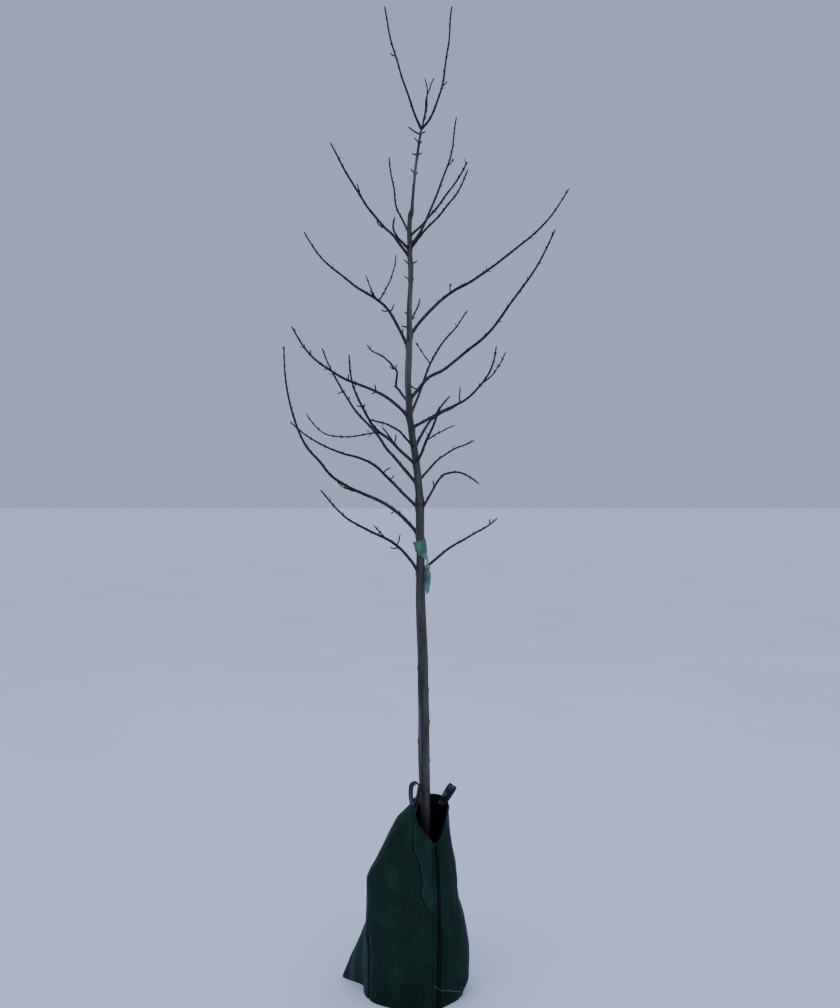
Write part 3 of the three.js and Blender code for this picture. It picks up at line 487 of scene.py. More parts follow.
# Meshes


class Pile:
    """Meshes joined into one piece: vertices in millimetres, faces and, if several, their materials."""

    def __init__(self):
        self.vertices = []
        self.faces = []
        self.slots = []
        self.count = 0

    def add(self, vertices, faces):
        self.vertices.append(np.asarray(vertices, dtype=float))
        self.faces.extend([tuple(int(v) + self.count for v in face) for face in faces])
        self.count += len(vertices)

    def add_grid(self, rings, close, *ends):
        """A skin over rows of rings, closed by the faces that close gives, to end points if it needs them."""
        rows, columns = rings.shape[:2]
        vertices = np.concatenate([rings.reshape(-1, 3)] + [[end] for end in ends])
        self.add(vertices, grid_faces(rows, columns) + close(rows, columns))

    def piece(self, name, materials, cad_slot, *replaced):
        mesh = bpy.data.meshes.new(name)
        mesh.from_pydata((np.concatenate(self.vertices) * MM).tolist(), [], self.faces)
        for material in materials:
            mesh.materials.append(material)
        if self.slots:
            mesh.polygons.foreach_set("material_index", self.slots)
        mesh.polygons.foreach_set("use_smooth", [True] * len(mesh.polygons))
        mesh.update()
        made = bpy.data.objects.new(name, mesh)
        bpy.context.scene.collection.objects.link(made)
        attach(made, "root")
        if replaced:
            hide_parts(*replaced)
        return made


def add_layers(made, **layers):
    """Numbers at each vertex of a piece, which its material reads by name."""
    for name, values in layers.items():
        layer = made.data.attributes.new(name, "FLOAT", "POINT")
        layer.data.foreach_set("value", values.reshape(-1).astype("float32"))


def grid_faces(rows, columns):
    """Quads of a grid of rows by columns of vertices, the columns closed on themselves."""
    i = np.arange(rows - 1)[:, None]
    j = np.arange(columns)[None, :]
    k = (j + 1) % columns
    low, high = i * columns, (i + 1) * columns
    quads = np.stack([low + j, low + k, high + k, high + j], axis=-1)
    return quads.reshape(-1, 4).tolist()


def fans(rows, columns):
    """Triangles from the first and the last ring to the two points that follow the grid."""
    last, foot, head = (rows - 1) * columns, rows * columns, rows * columns + 1
    return ([((j + 1) % columns, j, foot) for j in range(columns)]
            + [(last + j, last + (j + 1) % columns, head) for j in range(columns)])


def lids(rows, columns):
    """One face each over the first and the last ring."""
    last = (rows - 1) * columns
    return [tuple(range(columns))[::-1], tuple(last + k for k in range(columns))]


def ring_seam(rows, columns):
    """Quads from the last ring back to the first."""
    i = np.arange(columns)
    last = (rows - 1) * columns
    return np.stack([last + i, last + (i + 1) % columns, (i + 1) % columns, i], axis=-1).tolist()


def frames(points):
    """Unit tangents and two directions across at each point of a path, turned as little as can be."""
    along = tangents(points)
    side = np.cross(UP, along[0])
    if np.linalg.norm(side) < 0.01:
        side = np.array([1.0, 0.0, 0.0])
    across = []
    for tangent in along:
        side = unit(side - tangent * side.dot(tangent))
        across.append(side)
    across = np.array(across)
    return along, across, np.cross(across, along)


def tube(pile, points, radii, sides, dome=0.0):
    """A closed tube. radii is one number a ring, or one for each ring and side."""
    points = np.asarray(points, dtype=float)
    radii = np.asarray(radii, dtype=float)
    if radii.ndim == 1:
        radii = np.repeat(radii[:, None], sides, axis=1)
    along, across, up = frames(points)
    angle = circle(sides)[None, :, None]
    ring = across[:, None, :] * np.cos(angle) + up[:, None, :] * np.sin(angle)
    last = points[-1] + along[-1] * dome * radii[-1].mean()
    pile.add_grid(points[:, None, :] + ring * radii[:, :, None], fans, points[0], last)


def bud(pile, base, aim, length, radius, twist=0.0, small=False):
    """A pointed bud of overlapping scales."""
    s = np.array([0.0, 0.12, 0.3, 0.36, 0.55, 0.62, 0.8, 0.93, 1.0])
    shape = np.array([0.62, 0.86, 1.0, 0.93, 0.86, 0.76, 0.5, 0.24, 0.06])
    sides = 8
    if small:
        s, shape, sides = s[::2], shape[::2], 6
    ridge = 1 + 0.10 * np.cos(2 * (circle(sides) + twist))[None, :] * (1 - s)[:, None]
    tube(pile, base + aim * (s * length)[:, None], radius * shape[:, None] * ridge, sides)


# Materials, all made of nodes


def linear(red, green, blue):
    """Display values from 0 to 255 as linear colour."""
    return tuple(((c / 255 + 0.055) / 1.055) ** 2.4 if c > 10 else c / 255 / 12.92
                 for c in (red, green, blue))


def grey(value):
    return (value, value, value)


class Material:
    """A node material that starts with its base colour, roughness and the object's own coordinates."""

    def __init__(self, name, colour, roughness, specular):
        self.material = bpy.data.materials.new(name)
        self.material.use_nodes = True
        self.nodes = self.material.node_tree.nodes
        self.links = self.material.node_tree.links
        self.shader = self.nodes["Principled BSDF"]
        self.feed(self.shader, {"Base Color": colour, "Roughness": roughness, "Specular IOR Level": specular})
        self.coordinates = self.nodes.new("ShaderNodeTexCoord").outputs["Object"]

    def feed(self, node, inputs):
        """Links each input to an output of another node, or sets it."""
        for name, value in inputs.items():
            socket = node.inputs[name]
            if isinstance(value, bpy.types.NodeSocket):
                self.links.new(value, socket)
            else:
                socket.default_value = (*value, 1) if socket.type == "RGBA" else value

    def node(self, kind, inputs):
        node = self.nodes.new("ShaderNode" + kind)
        self.feed(node, inputs)
        return node

    def stretched(self, stretch):
        return self.node("Mapping", {"Scale": stretch, "Vector": self.coordinates}).outputs["Vector"]

    def noise(self, scale, detail, stretch=(1, 1, 1)):
        inputs = {"Scale": scale, "Detail": detail, "Roughness": 0.55, "Vector": self.stretched(stretch)}
        return self.node("TexNoise", inputs).outputs["Fac"]

    def cells(self, scale, stretch=(1, 1, 1)):
        inputs = {"Scale": scale, "Vector": self.stretched(stretch)}
        return self.node("TexVoronoi", inputs).outputs["Distance"]

    def waves(self, axis, scale):
        node = self.node("TexWave", {"Scale": scale, "Vector": self.coordinates})
        node.bands_direction = axis
        return node.outputs["Fac"]

    def attribute(self, name):
        node = self.node("Attribute", {})
        node.attribute_name = name
        return node.outputs["Fac"]

    def ramp(self, source, *stops):
        """A colour that follows a number, from stops of a position and a colour."""
        node = self.node("ValToRGB", {"Fac": source})
        elements = node.color_ramp.elements
        while len(elements) < len(stops):
            elements.new(0.5)
        for element, (position, colour) in zip(elements, stops):
            element.position = position
            element.color = (*colour, 1)
        return node.outputs["Color"]

    def mix(self, a, b, factor):
        node = self.nodes.new("ShaderNodeMix")
        node.data_type = "RGBA"
        self.feed(node, {0: factor, 6: a, 7: b})
        return node.outputs[2]

    def math(self, operation, a, b=0.5):
        node = self.node("Math", {0: a, 1: b})
        node.operation = operation
        return node.outputs[0]

    def times(self, a, b):
        return self.math("MULTIPLY", a, b)

    def wave_of(self, source):
        """A sine that crosses zero at each whole number of the source."""
        return self.math("SINE", self.times(source, math.pi))

    def ribs(self, source):
        return self.math("ABSOLUTE", self.wave_of(source))

    def colour(self, source):
        self.feed(self.shader, {"Base Color": source})

    def rough(self, source):
        self.feed(self.shader, {"Roughness": source})

    def bump(self, height, strength, distance):
        """A bump on top of the ones before it."""
        inputs = {"Strength": strength, "Distance": distance, "Height": height}
        before = self.shader.inputs["Normal"].links
        if before:
            inputs["Normal"] = before[0].from_socket
        self.feed(self.shader, {"Normal": self.node("Bump", inputs).outputs["Normal"]})


def trunk_bark():
    m = Material("trunk_bark", linear(58, 60, 66), 0.84, 0.16)
    streaks = m.noise(90, 6, (1, 1, 0.05))
    base = m.ramp(streaks, (0.34, linear(47, 42, 43)), (0.46, linear(66, 61, 61)), (0.57, linear(84, 79, 77)),
                  (0.72, linear(108, 103, 99)))
    patches = m.noise(9, 3, (1, 1, 0.35))
    tinted = m.mix(base, linear(62, 68, 56), m.times(m.math("SUBTRACT", patches, 0.42), 1.6))
    dots = m.ramp(m.cells(260, (1, 1, 0.55)), (0.0, grey(1)), (0.10, grey(0.5)), (0.17, grey(0)))
    speckled = m.mix(tinted, linear(124, 118, 110), m.times(dots, 0.4))
    # Above 0 the stain layer darkens the scar hollows and paints the shade of the trunk inside the bag; below
    # 0 it makes the scar rims and the bands above the collars paler.
    stain = m.attribute("stain")
    scarred_and_shaded = m.mix(speckled, linear(14, 12, 13), m.times(m.math("MAXIMUM", stain, 0.0), 0.9))
    m.colour(m.mix(scarred_and_shaded, linear(130, 122, 112), m.math("MAXIMUM", m.times(stain, -0.9), 0.0)))
    m.rough(m.ramp(streaks, (0.3, grey(0.88)), (0.7, grey(0.7))))
    m.bump(m.noise(260, 5, (1, 1, 0.12)), 0.5, 0.0006)
    m.bump(m.noise(1200, 3), 0.25, 0.0003)
    return m.material


def limb_bark(name, dark, middle, pale, roughness):
    m = Material(name, middle, roughness, 0.18)
    base = m.ramp(m.noise(110, 5), (0.32, dark), (0.52, middle), (0.72, pale))
    dots = m.ramp(m.cells(420), (0.0, grey(1)), (0.13, grey(0)))
    m.colour(m.mix(base, linear(98, 92, 86), m.times(dots, 0.35)))
    m.bump(m.noise(900, 4), 0.35, 0.0003)
    return m.material


def bud_scale():
    m = Material("bud_scale", linear(44, 33, 32), 0.55, 0.25)
    m.colour(m.ramp(m.noise(500, 3), (0.35, linear(30, 23, 24)), (0.6, linear(50, 37, 35)),
                    (0.8, linear(74, 57, 50))))
    m.bump(m.noise(1600, 2), 0.3, 0.0002)
    return m.material


def woven_sheet(name, dark, middle, pale, roughness):
    """Woven plastic tape sheet: a fine weave, soft dust, painted highlights and pale streaks, painted shade
    in folds and grooves, and darker towards the bottom.
    """
    m = Material(name, middle, roughness, 0.14)
    dust = m.noise(14, 6, (1, 1, 0.7))
    base = m.ramp(dust, (0.34, dark), (0.52, middle), (0.74, pale))
    # Above 0 the marks paint highlights along crease ridges and folded edges, with pale streaks on the fin;
    # below 0 they paint shade in folds and grooves.
    marks = m.attribute("marks")
    highlit_and_streaked = m.mix(base, linear(74, 96, 90), m.times(m.math("MAXIMUM", marks, 0.0), 0.75))
    fold_shaded = m.mix(highlit_and_streaked, linear(2, 5, 5), m.times(m.math("MINIMUM", marks, 0.0), -0.9))
    # Darker towards the bottom.
    height = m.node("SeparateXYZ", {"Vector": m.coordinates}).outputs["Z"]
    darker_low = m.ramp(height, (0.02, grey(0.45)), (0.3, grey(0.0)))
    foot = m.mix(fold_shaded, linear(1, 20, 14), darker_low)
    m.colour(m.mix(foot, dark, m.times(m.noise(220, 4), 0.35)))
    m.rough(m.ramp(dust, (0.3, grey(roughness - 0.08)), (0.7, grey(roughness + 0.12))))
    across, along = m.attribute("weave_u"), m.attribute("weave_v")
    over = m.math("GREATER_THAN", m.times(m.wave_of(across), m.wave_of(along)), 0.0)
    m.bump(m.mix(m.ribs(across), m.ribs(along), over), 0.22, 0.0004)
    m.bump(m.noise(70, 5), 0.35, 0.0012)
    return m.material


def webbing():
    m = Material("webbing", linear(9, 9, 12), 0.36, 0.3)
    weave = m.times(m.ribs(m.attribute("weave_u")), m.ribs(m.attribute("weave_v")))
    woven = m.ramp(weave, (0.0, linear(2, 2, 4)), (0.6, linear(9, 9, 12)), (1.0, linear(22, 22, 27)))
    # Painted glints: pale streaks along the strap.
    streaks = m.ramp(m.noise(95, 3, (1, 1, 0.3)), (0.55, grey(0.0)), (0.66, grey(0.6)))
    m.colour(m.mix(woven, linear(96, 99, 108), streaks))
    m.bump(weave, 0.7, 0.0006)
    return m.material


def zip_tape():
    m = Material("zip_tape", linear(5, 5, 6), 0.75, 0.1)
    ribs = m.waves("Z", 900)
    m.colour(m.ramp(ribs, (0.2, linear(2, 2, 3)), (0.8, linear(8, 8, 10))))
    m.bump(ribs, 0.4, 0.0003)
    return m.material


def zip_teeth():
    m = Material("zip_teeth", linear(8, 8, 9), 0.4, 0.3)
    m.colour(m.ramp(m.noise(900, 2), (0.3, linear(4, 4, 5)), (0.7, linear(13, 13, 15))))
    m.bump(m.noise(2500, 2), 0.15, 0.0001)
    return m.material


def thread(name, colour):
    m = Material(name, colour, 0.6, 0.35)
    m.colour(m.ramp(m.noise(1500, 2), (0.3, tuple(0.6 * c for c in colour)), (0.7, colour)))
    m.bump(m.waves("DIAGONAL", 1600), 0.5, 0.0002)
    return m.material


def ribbon_film():
    m = Material("ribbon_film", linear(82, 122, 98), 0.45, 0.4)
    m.feed(m.shader, {"Subsurface Weight": 0.12, "Subsurface Radius": (0.002, 0.004, 0.003)})
    m.colour(m.ramp(m.noise(45, 5, (1, 1, 0.5)), (0.36, linear(52, 88, 70)), (0.5, linear(80, 120, 97)),
                    (0.66, linear(118, 152, 128))))
    m.bump(m.noise(120, 4, (1, 1, 0.4)), 0.5, 0.0012)
    return m.material


def floor_material():
    m = Material("floor", linear(211, 218, 242), 0.9, 0.1)
    m.colour(m.ramp(m.noise(0.8, 3), (0.3, linear(209, 216, 241)), (0.7, linear(215, 222, 246))))
    return m.material


# The tree


def make_trunk(material):
    """Trunk with streaked bark, swollen joints, branch collars, knots and a lobed root flare."""
    foot = TRUNK_MESH["foot"]
    heights = np.concatenate([np.arange(0, foot, TRUNK_MESH["foot_step"]),
                              np.arange(foot, FORK_HEIGHT, TRUNK_MESH["step"]), [FORK_HEIGHT]])
    h, a = np.meshgrid(heights, circle(TRUNK_MESH["sides"]), indexing="ij")
    fade = np.maximum(1 - h / ROOT_LOBES["height"], 0) ** 2
    radius = trunk_radius(h) * (1 + ROOT_LOBES["depth"] * fade * np.cos(ROOT_LOBES["count"] * a))
    thin = radius / trunk_radius(0)
    turn = a / (2 * math.pi)
    radius = radius + thin * (0.55 * grain(turn * 22, h / 70, 22, 1) + 0.35 * grain(turn * 46, h / 26, 46, 2)
                              + 0.22 * grain(turn * 72, h / 7, 72, 3))
    radius = radius + 0.5 * grain(turn * 3, h / 55, 3, 4) * thin ** 0.5
    # One number at each vertex for the bark's colour: above 0 it is darker, for the scar hollows and for the
    # painted shade of the trunk inside the bag; below 0 it is paler.
    stain = np.zeros_like(h)

    def swell(height, azimuth, out, tall, wide, hollow=0.0):
        nonlocal radius, stain
        around = (a - math.radians(azimuth) + math.pi) % (2 * math.pi) - math.pi
        away = ((around * radius) / wide) ** 2 + ((h - height) / tall) ** 2
        radius = radius + out * np.exp(-away) - hollow * np.exp(-away * 7)
        if hollow:
            stain = np.maximum(stain, np.exp(-away * 2.6)) - 0.5 * np.exp(-(np.sqrt(away) - 0.95) ** 2 / 0.04)

    for row in LIMBS:
        if row["height"] > FORK_HEIGHT - 30:
            continue
        thick, slope = row["thick"], math.radians(min(row["leave"], 62))
        meets = row["height"] + trunk_radius(row["height"]) * math.tan(slope)
        swell(meets - 1.5 * thick, row["azimuth"], 0.75 * thick, 2.8 * thick, 1.7 * thick)
    for height, azimuth, _, _ in TRUNK_SPURS:
        for side in (0, 180):
            swell(height - 2, azimuth + side, 0.9, 4, 4)
    for height, azimuth, out, wide, hollow in TRUNK_SCARS:
        swell(height, azimuth, 1.35 * out, wide, wide * 0.8, 1.2 * hollow)
        radius = radius + 0.35 * hump(h - height, 3.5) * thin
    # Paler just above each collar and darker just below it.
    for collar in COLLARS:
        rise = h - collar["height"]
        stain = stain - 0.5 * hump(rise - 4, 5) + 0.5 * hump(rise + 9, 3)
    sway_heights, sideways, thicker = zip(*TRUNK_SWAY)
    radius = radius + np.interp(h, sway_heights, thicker)
    # Painted shade: the bark darkens below the bag's rim, where the bag shades the trunk.
    stain = np.maximum(stain, 0.8 * smooth((RIM + 25 - h) / 110))
    x = trunk_lean(h) + np.interp(h, sway_heights, sideways) + radius * np.cos(a)
    pile = Pile()
    pile.add_grid(np.stack([x, radius * np.sin(a), h], axis=-1), fans, [0.0, 0.0, 0.0],
                  [float(trunk_lean(FORK_HEIGHT)), 0.0, FORK_HEIGHT + TRUNK_MESH["head"]])
    bark = pile.piece("trunk_bark_relief", [material], "trunk_bark", "trunk")
    add_layers(bark, stain=np.append(stain, [0, 0]))


def limb_tube(pile, line, start, end, radius_at, joints, kind, seed, step=3.0):
    """Part of a limb as a tube with swollen joints, ring scars and fine bark relief."""
    length, sides = line.length, kind["sides"]
    count = max(int((end - start) * length / step), 3)
    shares = start + (end - start) * np.arange(count + 1) / count
    points = np.array([line.point(t) for t in shares])
    radii = np.array([float(radius_at(t)) for t in shares]) + FINE["bark"]
    places = shares * length
    for t in {joint["at"] for joint in joints}:
        away = places - t * length
        radii += JOINT["swell"] * hump(away, JOINT["width"])
        radii -= JOINT["groove"] * hump(away - JOINT["groove_up"], JOINT["groove_width"])
    angle = np.arange(sides) / sides
    u, v = np.meshgrid(angle * sides / 2, places, indexing="xy")
    seed += kind["seed"]
    relief = 0.07 * grain(u, v / 16, sides // 2, seed) + 0.05 * grain(u * 2, v / 4, sides, seed + 1)
    tube(pile, points, radii[:, None] * (1 + relief), sides, 0.4)


def place_joints(joints, radius_at, piles, twist):
    """Spurs and buds of the joints of one line."""
    for i, joint in enumerate(joints):
        radius = float(radius_at(joint["at"]))
        if joint["end"] is None:
            aim = unit(joint["out"] * 0.85 + joint["along"])
            base = joint["middle"] + joint["out"] * radius * 0.72
            bud(piles["buds"], base, aim, *SIDE_BUD, twist + i)
            continue
        aim = unit(joint["end"] - joint["middle"])
        reach = np.linalg.norm(joint["end"] - joint["middle"])
        curl = unit(joint["along"] - aim * aim.dot(joint["along"]))
        tip = min(SPUR_BUD["longest"], SPUR_BUD["share"] * reach)
        s = np.linspace(0, 1, 9)
        body = joint["middle"] + aim * (s * (reach - tip))[:, None] + curl * (1.6 * s * s)[:, None]
        scars = 1 + 0.16 * hump(s - 0.42, 0.05) + 0.22 * hump(s - 0.9, 0.09)
        tube(piles["spurs"], body, (1.45 - 0.4 * s) * scars, 8, 0.3)
        end_aim = unit(body[-1] - body[-2])
        bud(piles["spur_buds"], body[-1], end_aim, tip, SPUR_BUD["radius"], twist + i)
        for side in (1, -1):
            out = np.cross(end_aim, joint["out"]) * side
            bud(piles["spur_buds"], body[-2] + out * 0.7, unit(end_aim + out * 0.6), *SPUR_PAIR, i, True)


def finer_joints(line, joints, first, radius_at, draw):
    """The joints of a line, carried further: short spurs at some buds and further pairs in the wide gaps."""
    def short(at, middle, along, out):
        high = out[2] > 0.3
        if draw.random() > (FINE["chance"] if high else FINE["low_chance"]):
            return None
        reach = float(radius_at(at)) + draw.uniform(FINE["shortest"], FINE["longest"]) * (1 if high else 0.7)
        return middle + sloped(out, along, FINE["slope"]) * reach

    made = []
    for joint in joints:
        grown = joint["end"]
        if grown is None:
            grown = short(joint["at"], joint["middle"], joint["along"], joint["out"])
        made.append(dict(joint, end=grown))
    places = sorted({joint["at"] for joint in joints} | {first, 1 - BUD["length"] / line.length})
    for low, high in zip(places, places[1:]):
        if (high - low) * line.length < FINE["gap"]:
            continue
        at = low + (high - low) * draw.uniform(0.42, 0.58)
        middle, along = line.point(at), line.tangent(at)
        turn = math.pi / 2 + draw.uniform(-0.6, 0.6)
        for side in (0, math.pi):
            out = out_from(along, turn + side)
            made.append(dict(at=at, middle=middle, along=along, out=out, end=short(at, middle, along, out)))
    return made


def terminal_buds(buds, line, radius):
    """The large bud at a tip, between a pair of small ones."""
    tip, aim = line.point(1), line.tangent(1)
    base = line.point(1 - BUD["length"] / line.length)
    side = unit(np.cross(aim, UP))
    bud(buds, base, aim, np.linalg.norm(tip - base), radius)
    for sign in (1, -1):
        bud(buds, base + side * sign * 1.1, unit(aim + side * sign * 0.55), *TIP_PAIR, sign)


def grow_limbs():
    """Each limb's middle line and random numbers, and the points and radii that others keep clear of."""
    limbs = []
    for i, row in enumerate(LIMBS):
        random = seeded(SEED["first"] + SEED["step"] * i)
        line = limb_line(trunk_middle(row["height"]), row, random)
        count = max(round(line.length / LIMB["sample_step"]), 2)
        shares = np.arange(count + 1) / count
        limbs.append(dict(row=row, line=line, random=random,
                          samples=np.array([line.point(t) for t in shares]),
                          radii=limb_radius(row, line.length, shares)))
    return limbs


def dress_limb(i, limb, limbs, piles):
    """One limb: its bare part, its twig and shoots, and the spurs and buds on them."""
    row, line, random = limb["row"], limb["line"], limb["random"]
    length, share = line.length, row["share"]
    shoots = []
    for shoot in named(SHOOT_FIELDS, row.get("shoots", [])):
        data = {**SHOOT, **shoot}
        shoot_line = limb_line(line.point(data["at"]), data, random)
        shoots.append((shoot_line, data, joints_along(shoot_line, 0, random, limb, limbs)))
    joints = joints_along(line, share, random, limb, limbs)

    def radius_at(t):
        return limb_radius(row, length, t)

    inside = 0.55 * float(trunk_radius(row["height"])) / length
    draw = np.random.default_rng(FINE["seed"] + i)
    joints = finer_joints(line, joints, 3 * inside, radius_at, draw)
    if share > 0:
        limb_tube(piles["boughs"], line, inside, share, radius_at, joints, BOUGH, i)
    limb_tube(piles["twigs"], line, max(share - 0.5 / length, inside), 1 - 0.8 * BUD["length"] / length,
              radius_at, joints, TWIG, i)
    place_joints(joints, radius_at, piles, i)
    terminal_buds(piles["buds"], line, BUD["radius"])
    for k, (shoot_line, data, pairs) in enumerate(shoots):
        def thin_at(t, data=data):
            return data["thick"] + (data["tip"] - data["thick"]) * t

        pairs = finer_joints(shoot_line, pairs, 0.1, thin_at, draw)
        end = 1 - min(0.6 * BUD["length"] / shoot_line.length, 0.3)
        limb_tube(piles["twigs"], shoot_line, 0, end, thin_at, pairs, SIDE_SHOOT, 5 * i + k)
        place_joints(pairs, thin_at, piles, k)
        terminal_buds(piles["buds"], shoot_line, SHOOT_BUD_RADIUS)


def add_fine_twigs(lines, piles):
    """The finer twigs that show in the photo, on the limbs that carry them."""
    for i, (name, at, azimuth, reach, rise, leave, arrive) in enumerate(FINE_TWIGS):
        row = dict(SHOOT, azimuth=azimuth, reach=reach, rise=rise, leave=leave, arrive=arrive)
        line = limb_line(lines[name].point(at), row, seeded(FINE["twig_seed"] + i))
        root = FINE["thick"] + 0.009 * line.length
        limb_tube(piles["twigs"], line, 0, 0.92, lambda t, root=root: root * (1 - 0.25 * t), [], FINE_TWIG, i,
                  1.2)
        bud(piles["buds"], line.point(0.9), line.tangent(0.98), *FINE_BUD, i)


def add_trunk_spurs(piles):
    """The short spurs of the upper trunk, each with three buds."""
    for i, (height, azimuth, reach, rise) in enumerate(TRUNK_SPURS):
        surface = float(trunk_radius(height))
        row = dict(SHOOT, azimuth=azimuth, reach=surface + reach, rise=rise, leave=5, arrive=40)
        line = limb_line(trunk_middle(height), row, seeded(FINE["trunk_seed"] + i))
        thick = 1.7 if reach > 14 else 1.4
        limb_tube(piles["twigs"], line, 0.5 * surface / line.length, 0.9,
                  lambda t, thick=thick: thick * (1.25 - 0.4 * t), [], TRUNK_TWIG, i, 1.2)
        tip, end = line.point(0.86), line.tangent(0.98)
        bud(piles["buds"], tip, end, *TRUNK_BUD, i)
        side = unit(np.cross(end, direction(azimuth) + UP * 0.3))
        for sign in (1, -1):
            bud(piles["buds"], tip + side * sign * 0.7, unit(end + side * sign * 0.7), *TRUNK_PAIR, i)


def make_limbs(materials):
    """All limbs, as one piece of each kind."""
    piles = {kind: Pile() for kind in ("boughs", "twigs", "spurs", "buds", "spur_buds")}
    limbs = grow_limbs()
    for i, limb in enumerate(limbs):
        dress_limb(i, limb, limbs, piles)
    add_fine_twigs({limb["row"]["name"]: limb["line"] for limb in limbs}, piles)
    add_trunk_spurs(piles)
    bough_nodes, twig_nodes = ([node for node in sorted(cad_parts) if node.startswith(start)]
                               for start in ("bough_", "twigs_"))
    piles["boughs"].piece("boughs_bark_relief", [materials["limb"]], "limb_bark", *bough_nodes)
    piles["twigs"].piece("twigs_with_joints", [materials["twig"]], "twig_bark", *twig_nodes)
    piles["spurs"].piece("spur_shoots", [materials["twig"]], "twig_bark")
    piles["buds"].piece("buds", [materials["bud"]], "twig_bark")
    piles["spur_buds"].piece("spur_buds", [materials["bud"]], "twig_bark")


# The bag


def cornered(table, key, top):
    """One column of a table of stations on straight lines, its corners barely rounded."""
    soft = 9
    heights = np.arange(-soft, top + soft)
    values = np.interp(heights, [row["height"] for row in table], [row[key] for row in table])
    padded = np.pad(values, soft // 2, mode="edge")
    values = np.convolve(padded, np.ones(soft) / soft, "valid")
    return lambda height: np.interp(height, heights, values)


bag_left = cornered(BAG, "left", BAG_TOP)
bag_right, bag_front = profile(BAG, "right", BAG_TOP), profile(BAG, "front", BAG_TOP)
bag_back, bag_zip = profile(BAG, "back", BAG_TOP), profile(BAG, "zip", BAG_TOP)


def bag_outline(angle, height):
    """Middle of the bag's section at a height, and the way out from it to the outer face."""
    left, right = bag_left(height), bag_right(height)
    front, back = bag_front(height), bag_back(height)
    middle = np.stack([(left + right) / 2, (front + back) / 2, height], axis=-1)
    cos, sin = np.cos(angle), np.sin(angle)
    x = rounded(cos, 2 / BAG_SQUARENESS) * (right - left) / 2
    y = rounded(sin, 2 / BAG_SQUARENESS) * (back - front) / 2
    return middle, np.stack([x, y, np.zeros_like(x)], axis=-1)


def zip_angle_at(height):
    """Angle at which the zip stands in the front of the bag."""
    low, high = math.pi, 2 * math.pi
    for _ in range(30):
        angle = (low + high) / 2
        middle, out = bag_outline(np.array(angle), np.array(float(height)))
        if middle[0] + out[0] < bag_zip(height):
            low = angle
        else:
            high = angle
    return (low + high) / 2


zip_heights = np.arange(0, BAG_TOP + 1, 4)
zip_angles = np.array([zip_angle_at(h) for h in zip_heights])


def zip_angle(height):
    return np.interp(height, zip_heights, zip_angles)


def zip_normal(height):
    """The way out of the bag where the zip stands."""
    return unit(bag_outline(np.array(float(zip_angle(height))), np.array(height))[1])


def rim_height(turn):
    away = (turn + math.pi) % (2 * math.pi) - math.pi
    rise = BACK_RIM_RISE * np.maximum(np.sin(float(zip_angle(RIM)) + turn), 0)
    spread = np.where(away < 0, NOTCH["left"], NOTCH["right"])
    return RIM + rise - NOTCH["depth"] * np.exp(-(np.abs(away) / spread) ** NOTCH["power"])


def crease_relief(turn, height, share):
    """Relief of the creases, and the painted highlight along their raised ones."""
    relief, highlight_and_pale_streaks = np.zeros_like(height), np.zeros_like(height)
    for t0, h0, t1, h1, depth, wide in CREASES:
        ax, ay, bx, by = t0 * SHEET_TURN, h0, t1 * SHEET_TURN, h1
        dx, dy = bx - ax, by - ay
        px, py = turn * SHEET_TURN - ax, height - ay
        along = np.clip((px * dx + py * dy) / (dx * dx + dy * dy), 0, 1)
        away = np.hypot(px - along * dx, py - along * dy) + 2.5 * grain(share * 40, height / 18, 40, 31)
        fade = np.sin(math.pi * np.clip(0.12 + 0.76 * along, 0, 1))
        relief = relief + depth * fade * np.maximum(1 - np.abs(away) / wide, 0)
        # Painted highlight along the ridge of each raised crease.
        highlight_and_pale_streaks = np.maximum(highlight_and_pale_streaks, 0.16 * fade * np.maximum(1 - np.abs(away) / 3.0, 0) * (depth > 0))
    return relief, highlight_and_pale_streaks


def bag_relief(turn, height, x, y):
    """How far the creased sheet stands off its even shape, and its painted light: painted highlights and pale
    streaks above 0, painted shade in folds and grooves below.
    """
    share = (turn + math.pi) / (2 * math.pi)
    low = 1 - height / 700
    relief = 3.2 * low * grain(share * 9, height / 150, 9, 21) + 1.5 * grain(share * 22, height / 70, 22, 22)
    relief = relief + 0.5 * grain(share * 60, height / 26, 60, 23)
    creased, highlight_and_pale_streaks = crease_relief(turn, height, share)
    relief = relief + creased
    heights, edges = zip(*FLAP)
    from_edge = x - np.interp(height, heights, edges)
    front = (y < -20) & (turn > -1.6) & (turn < 0.4)
    foot = smooth((height - 270) / 8)
    step = smooth(from_edge / 2.2) * smooth((bag_zip(height) - x) / 22) * foot * front
    relief = relief + FLAP_STEP * step - 2.8 * hump(from_edge + 3.2, 2.6) * foot * front
    # Painted highlight along the flap's folded edge, and painted shadow just outside it.
    highlight_and_pale_streaks = np.maximum(highlight_and_pale_streaks, 0.7 * hump(from_edge - 2.6, 1.3) * foot * front)
    dark = hump(from_edge + 1.6, 2.0) * foot * front
    low = smooth((FIN_SPLIT["top"] - height) / 24) * (x < 0)
    split = hump(x - FIN_SPLIT["x"], 3.0) * low * (y < 0)
    relief = relief - 4.5 * split
    # Painted shade in the groove in front of the fin.
    dark = np.maximum(dark, 0.9 * split)
    # Pale streaks over the fin.
    fin = smooth((FIN_SPLIT["x"] - 1 - x) / 5) * low
    highlight_and_pale_streaks = np.maximum(highlight_and_pale_streaks, fin * (0.42 + 0.9 * np.maximum(np.sin(turn * 45 + height / 40), 0) ** 2))
    # Painted highlight along the body's edge in front of the fin.
    edge_light = hump(x - FIN_SPLIT["x"] - 7, 3) * low * (y < 0)
    highlight_and_pale_streaks = np.maximum(highlight_and_pale_streaks, 0.7 * edge_light * (0.6 + 0.4 * grain(share * 60, height / 40, 60, 42)))
    relief = relief + 0.9 * hump(height - 14, 9)
    return relief, highlight_and_pale_streaks * (1 - dark) - dark, step


